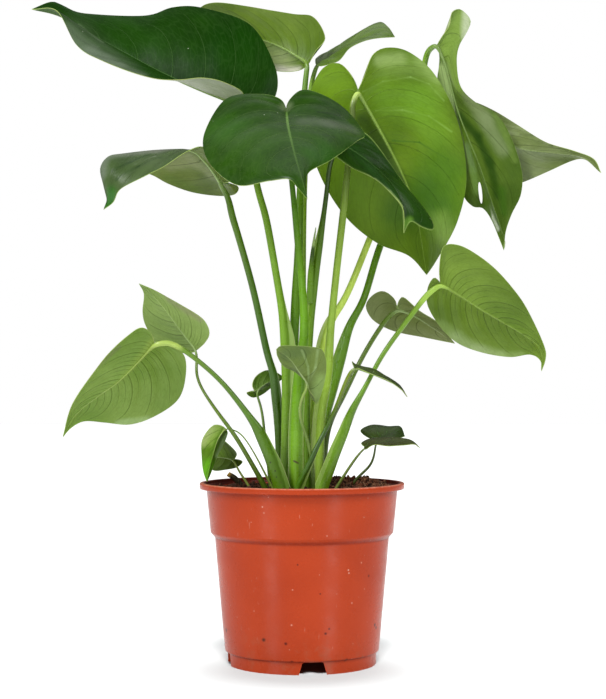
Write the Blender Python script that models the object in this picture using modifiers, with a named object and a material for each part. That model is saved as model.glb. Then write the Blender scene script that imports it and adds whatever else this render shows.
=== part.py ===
"""A young monstera in a plastic nursery pot: the pot, the soil, and a stalk and a blade for each leaf.

Lengths below are millimetres. The frame has +Z up, +X to the right and +Y away from the viewer.
Its origin is on the floor, in the middle of the pot's foot.
"""

import math

import bmesh
import bpy
import numpy as np
from mathutils import Vector

MM = 0.001

# Pot: a turned thin wall with a thick lip, a shoulder below its upper band, and an inset foot ring
POT_HEIGHT = 151.0
RIM_RADIUS = 85.7
LIP_HEIGHT = 4.9
LIP_INNER_RADIUS = 81.2
LIP_INNER_HEIGHT = 2.5
BODY_TOP_RADIUS = 80.0
BAND_BOTTOM = 109.7
BAND_BOTTOM_RADIUS = 76.5
SHOULDER_BOTTOM = 105.7
SHOULDER_RADIUS = 72.9
BODY_BOTTOM_RADIUS = 64.5
WALL = 1.5
FOOT_HEIGHT = 10.9
FOOT_RADIUS = 62.1
FOOT_WALL = 2.2
FLOOR_THICKNESS = 1.6
EDGE_ROUND = 0.6
POT_STEPS = 48

# Drainage: notches cut through the foot ring, with a round hole in the floor behind each
NOTCH_COUNT = 4
FIRST_NOTCH_ANGLE = math.radians(-90.0 + 8.3)
NOTCH_TOP_WIDTH = 17.0
NOTCH_BOTTOM_WIDTH = 23.0
NOTCH_HEIGHT = 10.2
NOTCH_DEPTH = 12.0
CUT_PAST = 2.0
DRAIN_RADIUS = 4.5
DRAIN_PLACE = 49.0

# Soil: peat filled to just below the lip, heaped a little at the back and right
SOIL_LEVEL = 145.6
SOIL_HEAP = 5.0
SOIL_HEAP_PLACE = (48.0, 42.0)
SOIL_HEAP_SPREAD = 26.0
SOIL_ROUGHNESS = 0.7
SOIL_STEPS = 40
SOIL_RINGS = 6
GAP = 0.4

# Stalks and blades
ROOT_DEPTH = 136.0
HOLE_TOP = 160.0
HOLE_ROOM = 1.3
HOLE_SIDES = 12
STALK_SIDES = 8
RING_SPACING = 24.0
STALK_FLATTEN_FROM = 2.4
STALK_END_RADIUS = 0.8
BLADE_THICKNESS = 0.8
VEIN_SWEEP = 1.8
BLADE_ARCH = 0.06

# How finely half a blade is divided: for ribs longer than the first number, its columns and rows
BLADE_GRIDS = [(165.0, 20, 4), (90.0, 14, 4), (0.0, 8, 2)]

# Points on a smooth path between two given points
PATH_DETAIL = 12

TERRACOTTA = (0.50, 0.075, 0.028)
PEAT = (0.035, 0.018, 0.010)
DRY_TAN = (0.32, 0.19, 0.07)
DARK_GREEN = (0.022, 0.095, 0.012)
MID_GREEN = (0.085, 0.22, 0.020)
BRIGHT_GREEN = (0.17, 0.36, 0.030)
OLIVE_GREEN = (0.10, 0.16, 0.035)
STALK_GREEN = (0.15, 0.33, 0.035)

# Each leaf. A stalk point is x, y, z and the stalk's half width there, from the soil up: the wide lower
# stretch is the sheath. The rib runs from the stalk to the tip. Left and right are the two margins, seen
# from the leaf's upper side with the tip away, each from the notch at the stalk round its lobe to the tip.
LEAVES = {
    "top_left": dict(
        colour=DARK_GREEN,
        stalk=[(-15, 2, 147, 3.8), (-13, 2, 195, 4.5), (-12, 3, 233, 5), (-11.7, 4, 266, 6.5),
               (-15.8, 5, 292, 3.9), (-19.6, 6, 313, 3.1), (-30, 8, 372, 3), (-38, 12, 401, 2.8),
               (-47, 22, 454, 2.5)],
        rib=[(-55, 30, 473), (-88, 40, 487), (-123, 54, 505), (-173, 76, 535), (-215, 92, 561),
             (-243, 100, 570)],
        left=[(-50, 12, 480), (-66, 0, 487), (-84, 0, 490), (-105, 6, 489), (-129, 16, 493),
              (-173, 42, 513), (-197, 60, 530), (-218, 84, 565)],
        right=[(-34, 32, 470), (-22, 38, 484), (-24, 48, 510), (-46, 66, 549), (-89, 86, 568),
               (-115, 92, 570), (-133, 96, 565), (-150, 98, 564), (-185, 102, 566), (-203, 102, 568),
               (-216, 102, 574), (-226, 102, 577)],
    ),
    "top_back": dict(
        colour=MID_GREEN,
        stalk=[(-8, 16, 146, 3.5), (-8, 16, 220, 3.8), (-6, 16, 290, 3.9), (-4.5, 18, 318, 3.8),
               (-3, 22, 345, 3.5), (-1.5, 34, 400, 3), (2, 50, 484, 2.5)],
        rib=[(6, 56, 513), (-24, 78, 534), (-61, 106, 549), (-108, 131, 558)],
        left=[(12, 50, 523), (20, 48, 534), (10, 54, 553), (-8, 64, 558), (-50, 88, 570),
              (-79, 100, 576), (-94, 110, 572)],
        right=[(-2, 60, 508), (-19, 78, 510), (-47, 100, 519), (-79, 116, 531)],
    ),
    "top_right": dict(
        colour=DARK_GREEN,
        stalk=[(2, 22, 146, 3), (2, 26, 220, 3), (1, 36, 306, 2.5), (2, 52, 402, 2.5),
               (7, 64, 487, 2.2)],
        rib=[(12, 64, 514), (33, 66, 526), (55, 66, 537), (73, 62, 542), (81, 56, 536)],
        left=[(14, 86, 524), (33, 102, 536), (51, 104, 548), (68, 96, 557), (76, 76, 549)],
        right=[(16, 48, 509), (24, 38, 509), (32, 34, 512), (40, 34, 522), (52, 38, 528),
               (66, 46, 533)],
    ),
    "large_bright": dict(
        colour=BRIGHT_GREEN,
        stalk=[(13, -8, 148, 5.5), (14, -6, 203, 5.5), (21, -3, 241, 4.5), (24, 0, 279, 3.2),
               (29, 3, 328, 3), (35, 5, 380, 3), (40, 5, 430, 2.5), (43, 4, 459, 2.5),
               (41.5, 4, 468, 2.5)],
        rib=[(47, 10, 481), (65, 18, 451), (84, 24, 416), (97, 26, 382), (106, 18, 326)],
        left=[(43, 10, 492), (31, 14, 505), (16, 18, 500), (6, 24, 476), (7, 28, 438), (20, 30, 403),
              (40, 32, 374), (65, 32, 354), (91, 26, 343)],
        right=[(53, 10, 494), (60, 12, 512), (73, 16, 519), (92, 22, 516), (114, 32, 499),
               (133, 38, 463), (142, 42, 413), (134, 38, 373), (115, 26, 339)],
    ),
    "front": dict(
        colour=DARK_GREEN,
        stalk=[(-5, -16, 148, 6.2), (-5, -16, 195, 6.2), (-2.5, -16, 237, 5.5), (1.5, -14, 270, 3.9),
               (1, -13, 304, 3.3), (-3, -12, 346, 2.8), (-7, -12, 387, 2.3), (-11, -12, 428, 2.3)],
        rib=[(-13, -14, 459), (-11, -46, 441), (-5, -90, 411), (0, -118, 391), (4, -134, 374)],
        left=[(-10, -8, 471), (4, -2, 480), (33, -8, 466), (51, -32, 439), (44, -50, 429),
              (23, -80, 411), (6, -102, 399), (3, -118, 387)],
        right=[(-18, -8, 471), (-36, -4, 476), (-64, -10, 471), (-80, -36, 437), (-74, -68, 410),
               (-51, -98, 389), (-26, -108, 391), (-10.5, -113, 392), (-4, -121, 385)],
    ),
    "narrow": dict(
        colour=DARK_GREEN,
        stalk=[(4, 5, 147, 3.8), (3, 6, 220, 3.8), (6, 8, 279, 3.8), (8, 8, 304, 4.2), (10, 8, 330, 5),
               (14, 8, 351, 3.8), (18, 8, 374, 2.2), (22, 6, 405, 2), (24, 3, 421, 2)],
        rib=[(32, -2, 436), (53, -6, 421), (72, -12, 403), (82, -18, 383), (84, -24, 358)],
        left=[(40, -5, 445), (55, -4, 442), (74, 0, 419), (91, 0, 394), (108, -4, 371), (109, -8, 362),
              (99, -14, 364), (90, -18, 368)],
        right=[(26, -6, 427), (36, -12, 417), (57, -18, 405), (71, -22, 393), (82, -24, 380),
               (84, -25, 370)],
    ),
    "left_drooping": dict(
        colour=DARK_GREEN,
        stalk=[(-18, 12, 146, 3), (-19, 10, 177, 3.5), (-20, 8, 203, 3.8), (-22, 4, 228, 4.5),
               (-24, 1, 244, 3.2), (-29, 0, 258, 3), (-41, -2, 313, 2.8), (-55, -4, 363, 2.8),
               (-59, -5, 375, 3), (-61.5, -5, 390, 2.4)],
        rib=[(-67, -6, 401), (-80, -8, 418), (-93, -10, 428), (-118, -14, 428), (-148, -20, 424),
             (-160, -23, 421), (-166, -26, 411), (-163, -28, 397), (-160, -28, 387), (-163, -28, 377)],
        left=[(-71, -24, 418), (-81, -34, 427), (-95, -42, 422), (-113, -50, 409), (-126, -54, 402),
              (-147, -48, 392), (-154, -38, 382)],
        right=[(-54, 4, 400), (-56, 8, 394), (-67, 17, 393), (-82, 27, 395), (-98, 34, 399),
               (-116, 36, 406), (-132, 34, 414), (-154, 14, 416), (-163, -6, 410), (-157, -20, 392)],
    ),
    "hanging_right": dict(
        colour=MID_GREEN,
        stalk=[(8, 14, 146, 3.5), (8, 14, 194, 3.8), (13, 15, 241, 4.2), (18, 17, 271, 5),
               (25, 20, 290, 3.8), (32, 22, 298, 3), (42, 25, 318, 2.8), (59, 40, 360, 2.8),
               (73, 48, 393, 2.5), (89, 52, 445, 2.5), (104, 50, 497, 2.5), (107, 50, 515, 2.5),
               (109, 46, 523, 2.5)],
        rib=[(116, 36, 525), (124, 34, 505), (133, 32, 470), (142, 32, 446), (153, 32, 419),
             (167, 32, 378), (174, 32, 357), (173, 31, 348)],
        left=[(120, 38, 518), (120, 42, 511), (118, 46, 504), (118, 49, 492), (125, 52, 471),
              (132, 54, 437), (139, 52, 401), (148, 50, 388), (158, 52, 386), (165, 42, 373)],
        right=[(121, 34, 533), (127, 34, 542), (129, 36, 553), (137, 42, 557), (146, 48, 549),
               (143, 50, 539), (136, 50, 527), (134, 50, 513), (138, 50, 492), (151, 52, 479),
               (169, 54, 469), (181, 54, 451), (191, 52, 420), (190, 48, 398), (181, 42, 380),
               (175, 35, 364)],
    ),
    "far_right": dict(
        colour=MID_GREEN,
        stalk=[(14, 10, 146, 3.5), (17, 12, 194, 4.2), (25, 16, 228, 5), (32, 20, 256, 5.5),
               (41, 26, 284, 3.5), (53, 32, 306, 3), (68, 46, 354, 3), (86, 56, 390, 2.8),
               (108, 66, 425, 2.8), (129, 76, 459, 2.5)],
        rib=[(136, 78, 465), (166, 76, 454), (190, 62, 440), (212, 26, 431), (232, -14, 422),
             (244, -38, 406)],
        left=[(143, 96, 451), (160, 102, 426), (181, 92, 410), (196, 78, 412), (213, 40, 417),
              (233, 4, 423), (241, -24, 414)],
        right=[(136, 72, 475), (148, 74, 483), (168, 76, 476), (191, 66, 460), (208, 36, 442),
               (227, -2, 429), (240, -26, 419)],
    ),
    "lower_right": dict(
        colour=MID_GREEN,
        stalk=[(16, -20, 148, 5.8), (27, -20, 177, 5), (34, -20, 193, 4.5), (41, -19, 211, 3.2),
               (52, -18, 230, 2), (67, -16, 258, 2), (91, -14, 291, 2), (105, -13, 309, 1.8)],
        rib=[(115, -12, 317), (133, -10, 306), (152, -8, 294), (183, -4, 276), (199, -2, 263),
             (201, 0, 244)],
        left=[(110, -8, 322), (105, -2, 313), (106, 6, 299), (118, 14, 281), (133, 18, 268),
              (155, 16, 260), (176, 10, 256), (192, 4, 258), (200, 0, 253)],
        right=[(114, -16, 330), (117, -20, 347), (129, -24, 348), (144, -26, 340), (162, -24, 326),
               (180, -18, 306), (192, -10, 287), (203, -4, 264), (204, -2, 254)],
    ),
    "olive_right": dict(
        colour=OLIVE_GREEN,
        stalk=[(17, 0, 147, 3), (19, 0, 181, 3), (24, 4, 203, 2.5), (35, 8, 223, 2), (50, 14, 254, 2),
               (65, 20, 279, 2), (74, 22, 291, 2)],
        rib=[(81, 26, 298), (97, 29, 291), (114, 30, 280), (131, 30, 268)],
        left=[(79, 28, 306), (70, 32, 313), (61, 36, 310), (55, 38, 301), (60, 40, 290), (72, 40, 282),
              (86, 38, 277), (106, 34, 273)],
        right=[(83, 24, 305), (87, 22, 307), (99, 24, 297), (117, 27, 285)],
    ),
    "lower_left": dict(
        colour=MID_GREEN,
        stalk=[(-17, -24, 149, 7), (-23, -24, 168, 6.2), (-29, -24, 181, 5.2), (-35, -24, 194, 5),
               (-40, -24, 202, 3), (-55, -23, 222, 2.2), (-68, -22, 237, 2), (-86, -21, 253, 2),
               (-103, -20, 265, 2), (-113, -19, 269, 1.8)],
        rib=[(-122, -18, 267), (-138, -12, 250), (-154, -6, 235), (-170, 0, 224), (-190, 6, 208),
             (-202, 8, 188)],
        left=[(-125, -22, 276), (-133, -26, 280), (-144, -26, 273), (-159, -22, 259), (-174, -14, 242),
              (-188, -4, 224), (-196, 4, 210)],
        right=[(-113, -12, 266), (-99, -4, 258), (-98, 6, 239), (-105, 14, 220), (-125, 18, 206),
               (-146, 18, 199), (-167, 14, 201), (-184, 10, 202), (-195, 8, 196)],
    ),
    "small_left": dict(
        colour=MID_GREEN,
        stalk=[(-31, -14, 148, 2.5), (-38, -16, 161, 2), (-55, -18, 190, 1.8), (-68, -14, 207, 1.5),
               (-83, -4, 228, 1.2), (-89, 2, 241, 1.2), (-89, 4, 249, 1.2), (-88, 7, 256, 1.2)],
        rib=[(-89, 10, 262), (-100, 12, 275), (-115, 16, 295), (-129, 20, 311), (-139, 23, 319)],
        left=[(-82, 4, 268), (-78, 0, 275), (-80, 0, 283), (-87, 4, 291), (-107, 10, 303),
              (-125, 18, 313)],
        right=[(-93, 14, 260), (-104, 20, 262), (-120, 26, 271), (-133, 28, 282), (-136, 26, 295),
               (-135, 24, 310)],
    ),
    "rim_folded": dict(
        colour=BRIGHT_GREEN,
        stalk=[(-25, -7, 147, 2), (-30, -7, 157, 1.8), (-40, -7, 176, 1.2), (-51, -8, 193, 1.2),
               (-57, -9, 196, 1.2)],
        rib=[(-64, -11, 197), (-70, -14, 187), (-74, -15, 174), (-77, -15, 162), (-79, -13, 152)],
        left=[(-68, -8, 199), (-74, -4, 199), (-80, -2, 193), (-84, -2, 184), (-84, -5, 172),
              (-82, -10, 160)],
        right=[(-62, -6, 193), (-64, -4, 187), (-69, -5, 177), (-73, -8, 167), (-76, -11, 159)],
    ),
    "rim_round": dict(
        colour=OLIVE_GREEN,
        stalk=[(-44, -2, 147, 2), (-49, -1, 155, 1.8), (-55, 0, 163, 1.5)],
        rib=[(-57, 4, 170), (-65, 8, 171), (-74, 12, 171), (-82, 16, 167)],
        left=[(-55, 2, 175), (-60, 4, 181), (-68, 8, 187), (-75, 12, 186), (-81, 15, 177)],
        right=[(-50, 6, 168), (-55, 8, 163), (-64, 12, 161), (-75, 15, 160)],
    ),
    "inner_left": dict(
        colour=DARK_GREEN,
        stalk=[(-27, 14, 146, 2), (-30, 14, 177, 2), (-32, 14, 194, 2), (-34, 14, 211, 1.8),
               (-37, 13, 222, 1.8)],
        rib=[(-40, 12, 227), (-32, 17, 233), (-24, 22, 237), (-15, 26, 239)],
        left=[(-47, 14, 226), (-42, 18, 222), (-33, 22, 225), (-24, 25, 232)],
        right=[(-42, 12, 233), (-39, 16, 240), (-31, 20, 245), (-23, 24, 244)],
    ),
    "small_centre": dict(
        colour=OLIVE_GREEN,
        stalk=[(9, -30, 149, 2.2), (9, -30, 163, 2), (7, -31, 178, 1.8), (3, -33, 193, 1.8),
               (-2, -36, 207, 1.5), (-2, -38, 216, 1.5), (1, -42, 225, 1.5)],
        rib=[(5, -46, 233), (-2, -46, 243), (-10, -42, 254), (-21, -38, 262)],
        left=[(6, -44, 228), (10, -38, 223), (12, -34, 217), (17, -36, 230), (20, -40, 247),
              (17, -42, 261), (7, -42, 264), (-7, -40, 265), (-17, -38, 265)],
        right=[(3, -42, 236), (-5, -38, 243), (-15, -36, 248), (-20, -37, 256)],
    ),
    "slim_right": dict(
        colour=OLIVE_GREEN,
        stalk=[(-2, -36, 149, 3.8), (2, -37, 160, 3.2), (6, -37, 167, 2.8), (11, -36, 180, 2),
               (21, -33, 199, 1.8), (28, -33, 214, 1.8), (35, -35, 233, 1.8), (39, -37, 243, 1.5)],
        rib=[(42, -38, 248), (54, -39, 243), (68, -39, 237), (79, -38, 231), (86, -37, 223)],
        left=[(41, -31, 252), (45, -25, 249), (58, -22, 246), (69, -24, 240), (80, -29, 233)],
        right=[(43, -43, 246), (47, -50, 246), (57, -54, 241), (70, -50, 236), (82, -43, 228)],
    ),
    "low_upper": dict(
        colour=OLIVE_GREEN,
        stalk=[(41, 14, 146, 1.8), (49, 12, 157, 1.5), (58, 11, 163, 1.5), (61, 9, 172, 1.2),
               (62, 7, 180, 1.2)],
        rib=[(62, 6, 186), (71, 8, 191), (79, 10, 193), (87, 12, 189)],
        left=[(54, 14, 189), (50, 24, 194), (60, 32, 198), (75, 32, 197), (84, 24, 197)],
        right=[(59, 2, 187), (65, -6, 187), (75, -6, 188), (82, 4, 188)],
    ),
    "low_edge": dict(
        colour=OLIVE_GREEN,
        stalk=[(29, -26, 149, 1.8), (35, -27, 159, 1.5), (43, -28, 171, 1.5), (48, -30, 178, 1.2)],
        rib=[(51, -30, 182), (62, -30, 185), (76, -29, 187), (89, -28, 186), (97, -27, 181)],
        left=[(49, -24, 185), (57, -16, 188), (72, -12, 189), (87, -16, 188), (92, -22, 186)],
        right=[(52, -36, 180), (59, -42, 184), (71, -44, 183), (83, -40, 184), (92, -33, 184)],
    ),
}

# The one slit in a leaf, beside the rib of the hanging leaf: its middle, half width, half length and lean
SLIT_LEAF = "hanging_right"
SLIT_MIDDLE = (154.6, 45.0, 399.0)
SLIT_HALF_WIDTH = 1.5
SLIT_HALF_LENGTH = 9.0
SLIT_LEAN = math.radians(-9.0)

# The dry end of an old stalk, standing in the soil at the left
DRY_STUB = [(-52, 33, 146.5, 2.4), (-57.5, 34, 152.2, 2.4), (-63.5, 35, 156, 2.1)]


def clear_scene():
    for old in list(bpy.data.objects):
        bpy.data.objects.remove(old)


def new_collection(name):
    collection = bpy.data.collections.new(name)
    bpy.context.scene.collection.children.link(collection)
    return collection


def principled(name, colour, roughness):
    material = bpy.data.materials.new(name)
    material.use_nodes = True
    shader = material.node_tree.nodes["Principled BSDF"]
    shader.inputs["Base Color"].default_value = (*colour, 1.0)
    shader.inputs["Roughness"].default_value = roughness
    shader.inputs["Metallic"].default_value = 0.0
    return material


def add_object(name, mesh, collection, material=None):
    thing = bpy.data.objects.new(name, mesh)
    collection.objects.link(thing)
    if material:
        mesh.materials.append(material)
    mesh.shade_smooth()
    mesh.set_sharp_from_angle(angle=math.radians(35.0))
    return thing


def turned(name, profile, steps, collection, material):
    """A shape turned about Z from (radius, height) points, which run up the inside and down the outside."""
    mesh = bpy.data.meshes.new(name)
    points = [(radius * MM, 0.0, height * MM) for radius, height in profile]
    edges = [(i, i + 1) for i in range(len(points) - 1)]
    mesh.from_pydata(points, edges, [])
    thing = add_object(name, mesh, collection, material)
    screw = thing.modifiers.new("Turn", "SCREW")
    screw.steps = steps
    screw.render_steps = steps
    screw.use_merge_vertices = True
    screw.merge_threshold = 0.00001
    return thing


def solid_mesh_of(thing):
    """The object's mesh with its modifiers applied."""
    graph = bpy.context.evaluated_depsgraph_get()
    return bpy.data.meshes.new_from_object(thing.evaluated_get(graph))


def cut(thing, cutter, name):
    boolean = thing.modifiers.new(name, "BOOLEAN")
    boolean.operation = "DIFFERENCE"
    boolean.object = cutter


def as_cutter(thing):
    thing.hide_render = True
    thing.display_type = "WIRE"


def inner_wall():
    """The pot's inside from the floor's edge up to the lip, as (radius, height) points."""
    return [
        (BODY_BOTTOM_RADIUS - WALL, FOOT_HEIGHT + FLOOR_THICKNESS),
        (SHOULDER_RADIUS - WALL, SHOULDER_BOTTOM + EDGE_ROUND),
        (BAND_BOTTOM_RADIUS - WALL, BAND_BOTTOM + EDGE_ROUND),
        (BODY_TOP_RADIUS - WALL, POT_HEIGHT - LIP_HEIGHT - WALL),
    ]


def pot_profile():
    """The whole wall from the middle of the floor up the inside, over the lip and down to the foot."""
    lip_bottom = POT_HEIGHT - LIP_HEIGHT
    outside = [
        (LIP_INNER_RADIUS, POT_HEIGHT - LIP_INNER_HEIGHT),
        (LIP_INNER_RADIUS, POT_HEIGHT - EDGE_ROUND),
        (LIP_INNER_RADIUS + EDGE_ROUND, POT_HEIGHT),
        (RIM_RADIUS - EDGE_ROUND, POT_HEIGHT),
        (RIM_RADIUS, POT_HEIGHT - EDGE_ROUND),
        (RIM_RADIUS, lip_bottom + EDGE_ROUND),
        (RIM_RADIUS - EDGE_ROUND, lip_bottom),
        (BODY_TOP_RADIUS + EDGE_ROUND, lip_bottom),
        (BODY_TOP_RADIUS, lip_bottom - EDGE_ROUND),
        (BAND_BOTTOM_RADIUS, BAND_BOTTOM),
        (BAND_BOTTOM_RADIUS - EDGE_ROUND, BAND_BOTTOM - EDGE_ROUND),
        (SHOULDER_RADIUS + EDGE_ROUND, SHOULDER_BOTTOM + EDGE_ROUND),
        (SHOULDER_RADIUS, SHOULDER_BOTTOM - EDGE_ROUND),
        (BODY_BOTTOM_RADIUS, FOOT_HEIGHT + EDGE_ROUND),
        (BODY_BOTTOM_RADIUS - EDGE_ROUND, FOOT_HEIGHT),
        (FOOT_RADIUS, FOOT_HEIGHT),
        (FOOT_RADIUS, 0.0),
        (FOOT_RADIUS - FOOT_WALL, 0.0),
        (FOOT_RADIUS - FOOT_WALL, FOOT_HEIGHT),
        (0.0, FOOT_HEIGHT),
    ]
    return [(0.0, FOOT_HEIGHT + FLOOR_THICKNESS)] + inner_wall() + outside


def drain_angle(number):
    return FIRST_NOTCH_ANGLE + number * 2.0 * math.pi / NOTCH_COUNT


def notch_cutter(number, collection):
    """A wedge through the foot ring, wider at the floor, that points out from the axis."""
    shape = bmesh.new()
    bmesh.ops.create_cube(shape, size=1.0)
    flare = (NOTCH_BOTTOM_WIDTH - NOTCH_TOP_WIDTH) / NOTCH_HEIGHT
    for corner in shape.verts:
        low = corner.co.z < 0.0
        width = NOTCH_BOTTOM_WIDTH + flare * CUT_PAST if low else NOTCH_TOP_WIDTH
        radius = FOOT_RADIUS + math.copysign(NOTCH_DEPTH / 2.0, corner.co.x)
        height = -CUT_PAST if low else NOTCH_HEIGHT
        corner.co = Vector((radius, math.copysign(width / 2.0, corner.co.y), height)) * MM
    mesh = bpy.data.meshes.new(f"notch_cutter_{number}")
    shape.to_mesh(mesh)
    shape.free()
    cutter = add_object(mesh.name, mesh, collection)
    cutter.rotation_euler.z = drain_angle(number)
    as_cutter(cutter)
    return cutter


def drain_cutter(number, collection):
    angle = drain_angle(number)
    bpy.ops.mesh.primitive_cylinder_add(
        vertices=16,
        radius=DRAIN_RADIUS * MM,
        depth=(FLOOR_THICKNESS + 2.0 * CUT_PAST) * MM,
        location=(
            DRAIN_PLACE * math.cos(angle) * MM,
            DRAIN_PLACE * math.sin(angle) * MM,
            (FOOT_HEIGHT + FLOOR_THICKNESS / 2.0) * MM,
        ),
    )
    cutter = bpy.context.object
    cutter.name = f"drain_cutter_{number}"
    for owner in list(cutter.users_collection):
        owner.objects.unlink(cutter)
    collection.objects.link(cutter)
    as_cutter(cutter)
    return cutter


def make_pot(parts, cutters):
    pot = turned("pot", pot_profile(), POT_STEPS, parts, principled("terracotta_plastic", TERRACOTTA, 0.5))
    for number in range(NOTCH_COUNT):
        cut(pot, notch_cutter(number, cutters), f"Notch {number}")
        cut(pot, drain_cutter(number, cutters), f"Drain {number}")


def soil_height(x, y):
    """Height of the soil's surface at a place: level peat, a heap to the back right and small lumps."""
    away = (x - SOIL_HEAP_PLACE[0]) ** 2 + (y - SOIL_HEAP_PLACE[1]) ** 2
    heap = SOIL_HEAP * math.exp(-away / (2.0 * SOIL_HEAP_SPREAD**2))
    lumps = math.sin(x * 0.31 + 1.3) * math.cos(y * 0.27 - 0.6) + 0.6 * math.sin(x * 0.13 - y * 0.21 + 2.1)
    return SOIL_LEVEL + heap + SOIL_ROUGHNESS * lumps


def on_lean(stalk, height):
    """The place at this height on the straight line through the stalk's two lowest points."""
    low, high = (np.array(point[:3], float) for point in stalk[:2])
    return low + (high - low) * (height - low[2]) / (high[2] - low[2])


def hole_cutter(name, stalk, collection):
    """The plain hole in which a stalk stands, along the stalk's own lean."""
    half_width = stalk[0][3]
    shape = bmesh.new()
    bmesh.ops.create_cone(shape, cap_ends=True, segments=HOLE_SIDES, radius1=1.0, radius2=1.0, depth=1.0)
    for corner in shape.verts:
        centre = on_lean(stalk, ROOT_DEPTH - GAP if corner.co.z < 0.0 else HOLE_TOP)
        corner.co = Vector((
            centre[0] + corner.co.x * (half_width + HOLE_ROOM),
            centre[1] + corner.co.y * (half_depth(half_width) + HOLE_ROOM),
            centre[2],
        )) * MM
    mesh = bpy.data.meshes.new(f"hole_cutter_{name}")
    shape.to_mesh(mesh)
    shape.free()
    as_cutter(add_object(mesh.name, mesh, collection))


def make_soil(parts, stalks):
    side = [(radius - GAP, height) for radius, height in inner_wall()]
    bottom = (side[0][0], side[0][1] + GAP)
    edge_radius = side[-1][0]
    wall = [(edge_radius, SOIL_LEVEL - 2.0)] + side[2:0:-1] + [bottom, (0.0, bottom[1])]
    top = [(edge_radius * ring / SOIL_RINGS, SOIL_LEVEL) for ring in range(SOIL_RINGS)]
    top.append((edge_radius, SOIL_LEVEL))
    soil = turned("soil", top + wall, SOIL_STEPS, parts, principled("peat", PEAT, 0.95))
    mesh = solid_mesh_of(soil)
    soil.modifiers.clear()
    soil.data = mesh
    for vertex in mesh.vertices:
        if vertex.co.z > (SOIL_LEVEL - 1.0) * MM:
            vertex.co.z = soil_height(vertex.co.x / MM, vertex.co.y / MM) * MM
    holes = new_collection("soil_hole_cutters")
    holes.hide_render = True
    for name, stalk in stalks.items():
        hole_cutter(name, stalk, holes)
    boolean = soil.modifiers.new("Stalk holes", "BOOLEAN")
    boolean.operation = "DIFFERENCE"
    boolean.operand_type = "COLLECTION"
    boolean.collection = holes


def smooth_path(points):
    """A dense Catmull-Rom curve through the points, of any number of columns."""
    points = np.asarray(points, float)
    first = 2.0 * points[0] - points[1]
    last = 2.0 * points[-1] - points[-2]
    padded = np.vstack([first, points, last])
    steps = np.linspace(0.0, 1.0, PATH_DETAIL, endpoint=False)[:, None]
    spans = []
    for before, start, end, after in zip(padded, padded[1:], padded[2:], padded[3:]):
        spans.append(
            0.5
            * (
                2.0 * start
                + (end - before) * steps
                + (2.0 * before - 5.0 * start + 4.0 * end - after) * steps**2
                + (3.0 * start - 3.0 * end + after - before) * steps**3
            )
        )
    spans.append(points[-1:])
    return np.vstack(spans)


def path_length(path):
    return float(np.linalg.norm(np.diff(path[:, :3], axis=0), axis=1).sum())


def along(path, fractions):
    """Points at these fractions of the path's length."""
    lengths = np.linalg.norm(np.diff(path[:, :3], axis=0), axis=1)
    places = np.concatenate([[0.0], np.cumsum(lengths)]) / lengths.sum()
    return np.stack([np.interp(fractions, places, column) for column in path.T], axis=1)


def unit(vectors):
    return vectors / np.maximum(np.linalg.norm(vectors, axis=-1, keepdims=True), 1e-9)


def blade_half(leaf, side, columns, rows):
    """A grid of points over one half of a blade: columns follow the side veins, from the rib to the margin."""
    rib = smooth_path(leaf["rib"])
    margin = smooth_path([leaf["rib"][0]] + leaf[side] + [leaf["rib"][-1]])
    places = np.linspace(0.0, 1.0, columns + 1)
    vein_feet = along(rib, places**VEIN_SWEEP)
    vein_tips = along(margin, places)
    ahead = along(rib, np.minimum(places**VEIN_SWEEP + 0.05, 1.0))
    behind = along(rib, np.maximum(places**VEIN_SWEEP - 0.05, 0.0))
    reach = vein_tips - vein_feet
    upward = unit(np.cross(ahead - behind, reach))
    if side == "right":
        upward = -upward
    across = np.linspace(0.0, 1.0, rows + 1)[None, :, None]
    arch = BLADE_ARCH * 4.0 * across * (1.0 - across) * np.linalg.norm(reach, axis=1)[:, None, None]
    return vein_feet[:, None, :] + reach[:, None, :] * across + upward[:, None, :] * arch


def grid_faces(shape, first, columns, rows, flip):
    for column in range(columns):
        for row in range(rows):
            corners = [
                first + column * (rows + 1) + row,
                first + (column + 1) * (rows + 1) + row,
                first + (column + 1) * (rows + 1) + row + 1,
                first + column * (rows + 1) + row + 1,
            ]
            shape.faces.new([shape.verts[i] for i in (corners[::-1] if flip else corners)])


def make_blade(name, leaf, parts, material):
    span = path_length(smooth_path(leaf["rib"]))
    columns, rows = next(grid[1:] for grid in BLADE_GRIDS if span > grid[0])
    shape = bmesh.new()
    for side in ("left", "right"):
        first = len(shape.verts)
        for point in blade_half(leaf, side, columns, rows).reshape(-1, 3):
            shape.verts.new(Vector(point) * MM)
        shape.verts.ensure_lookup_table()
        grid_faces(shape, first, columns, rows, side == "right")
    bmesh.ops.remove_doubles(shape, verts=shape.verts, dist=0.00001)
    bmesh.ops.triangulate(shape, faces=shape.faces)
    mesh = bpy.data.meshes.new(f"blade_{name}")
    shape.to_mesh(mesh)
    shape.free()
    blade = add_object(mesh.name, mesh, parts, material)
    solidify = blade.modifiers.new("Thickness", "SOLIDIFY")
    solidify.thickness = BLADE_THICKNESS * MM
    solidify.offset = 0.0
    return blade


def cut_slit(blade, collection):
    """The narrow window that this kind of leaf opens beside its rib."""
    shape = bmesh.new()
    bmesh.ops.create_cone(shape, cap_ends=True, segments=14, radius1=1.0, radius2=1.0, depth=2.0)
    size = Vector((SLIT_HALF_WIDTH, SLIT_HALF_LENGTH, 25.0)) * MM
    bmesh.ops.scale(shape, vec=size, verts=shape.verts)
    mesh = bpy.data.meshes.new("slit_cutter")
    shape.to_mesh(mesh)
    shape.free()
    cutter = add_object(mesh.name, mesh, collection)
    cutter.location = Vector(SLIT_MIDDLE) * MM
    cutter.rotation_euler = (math.radians(90.0), SLIT_LEAN, 0.0)
    as_cutter(cutter)
    cut(blade, cutter, "Slit")


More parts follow.
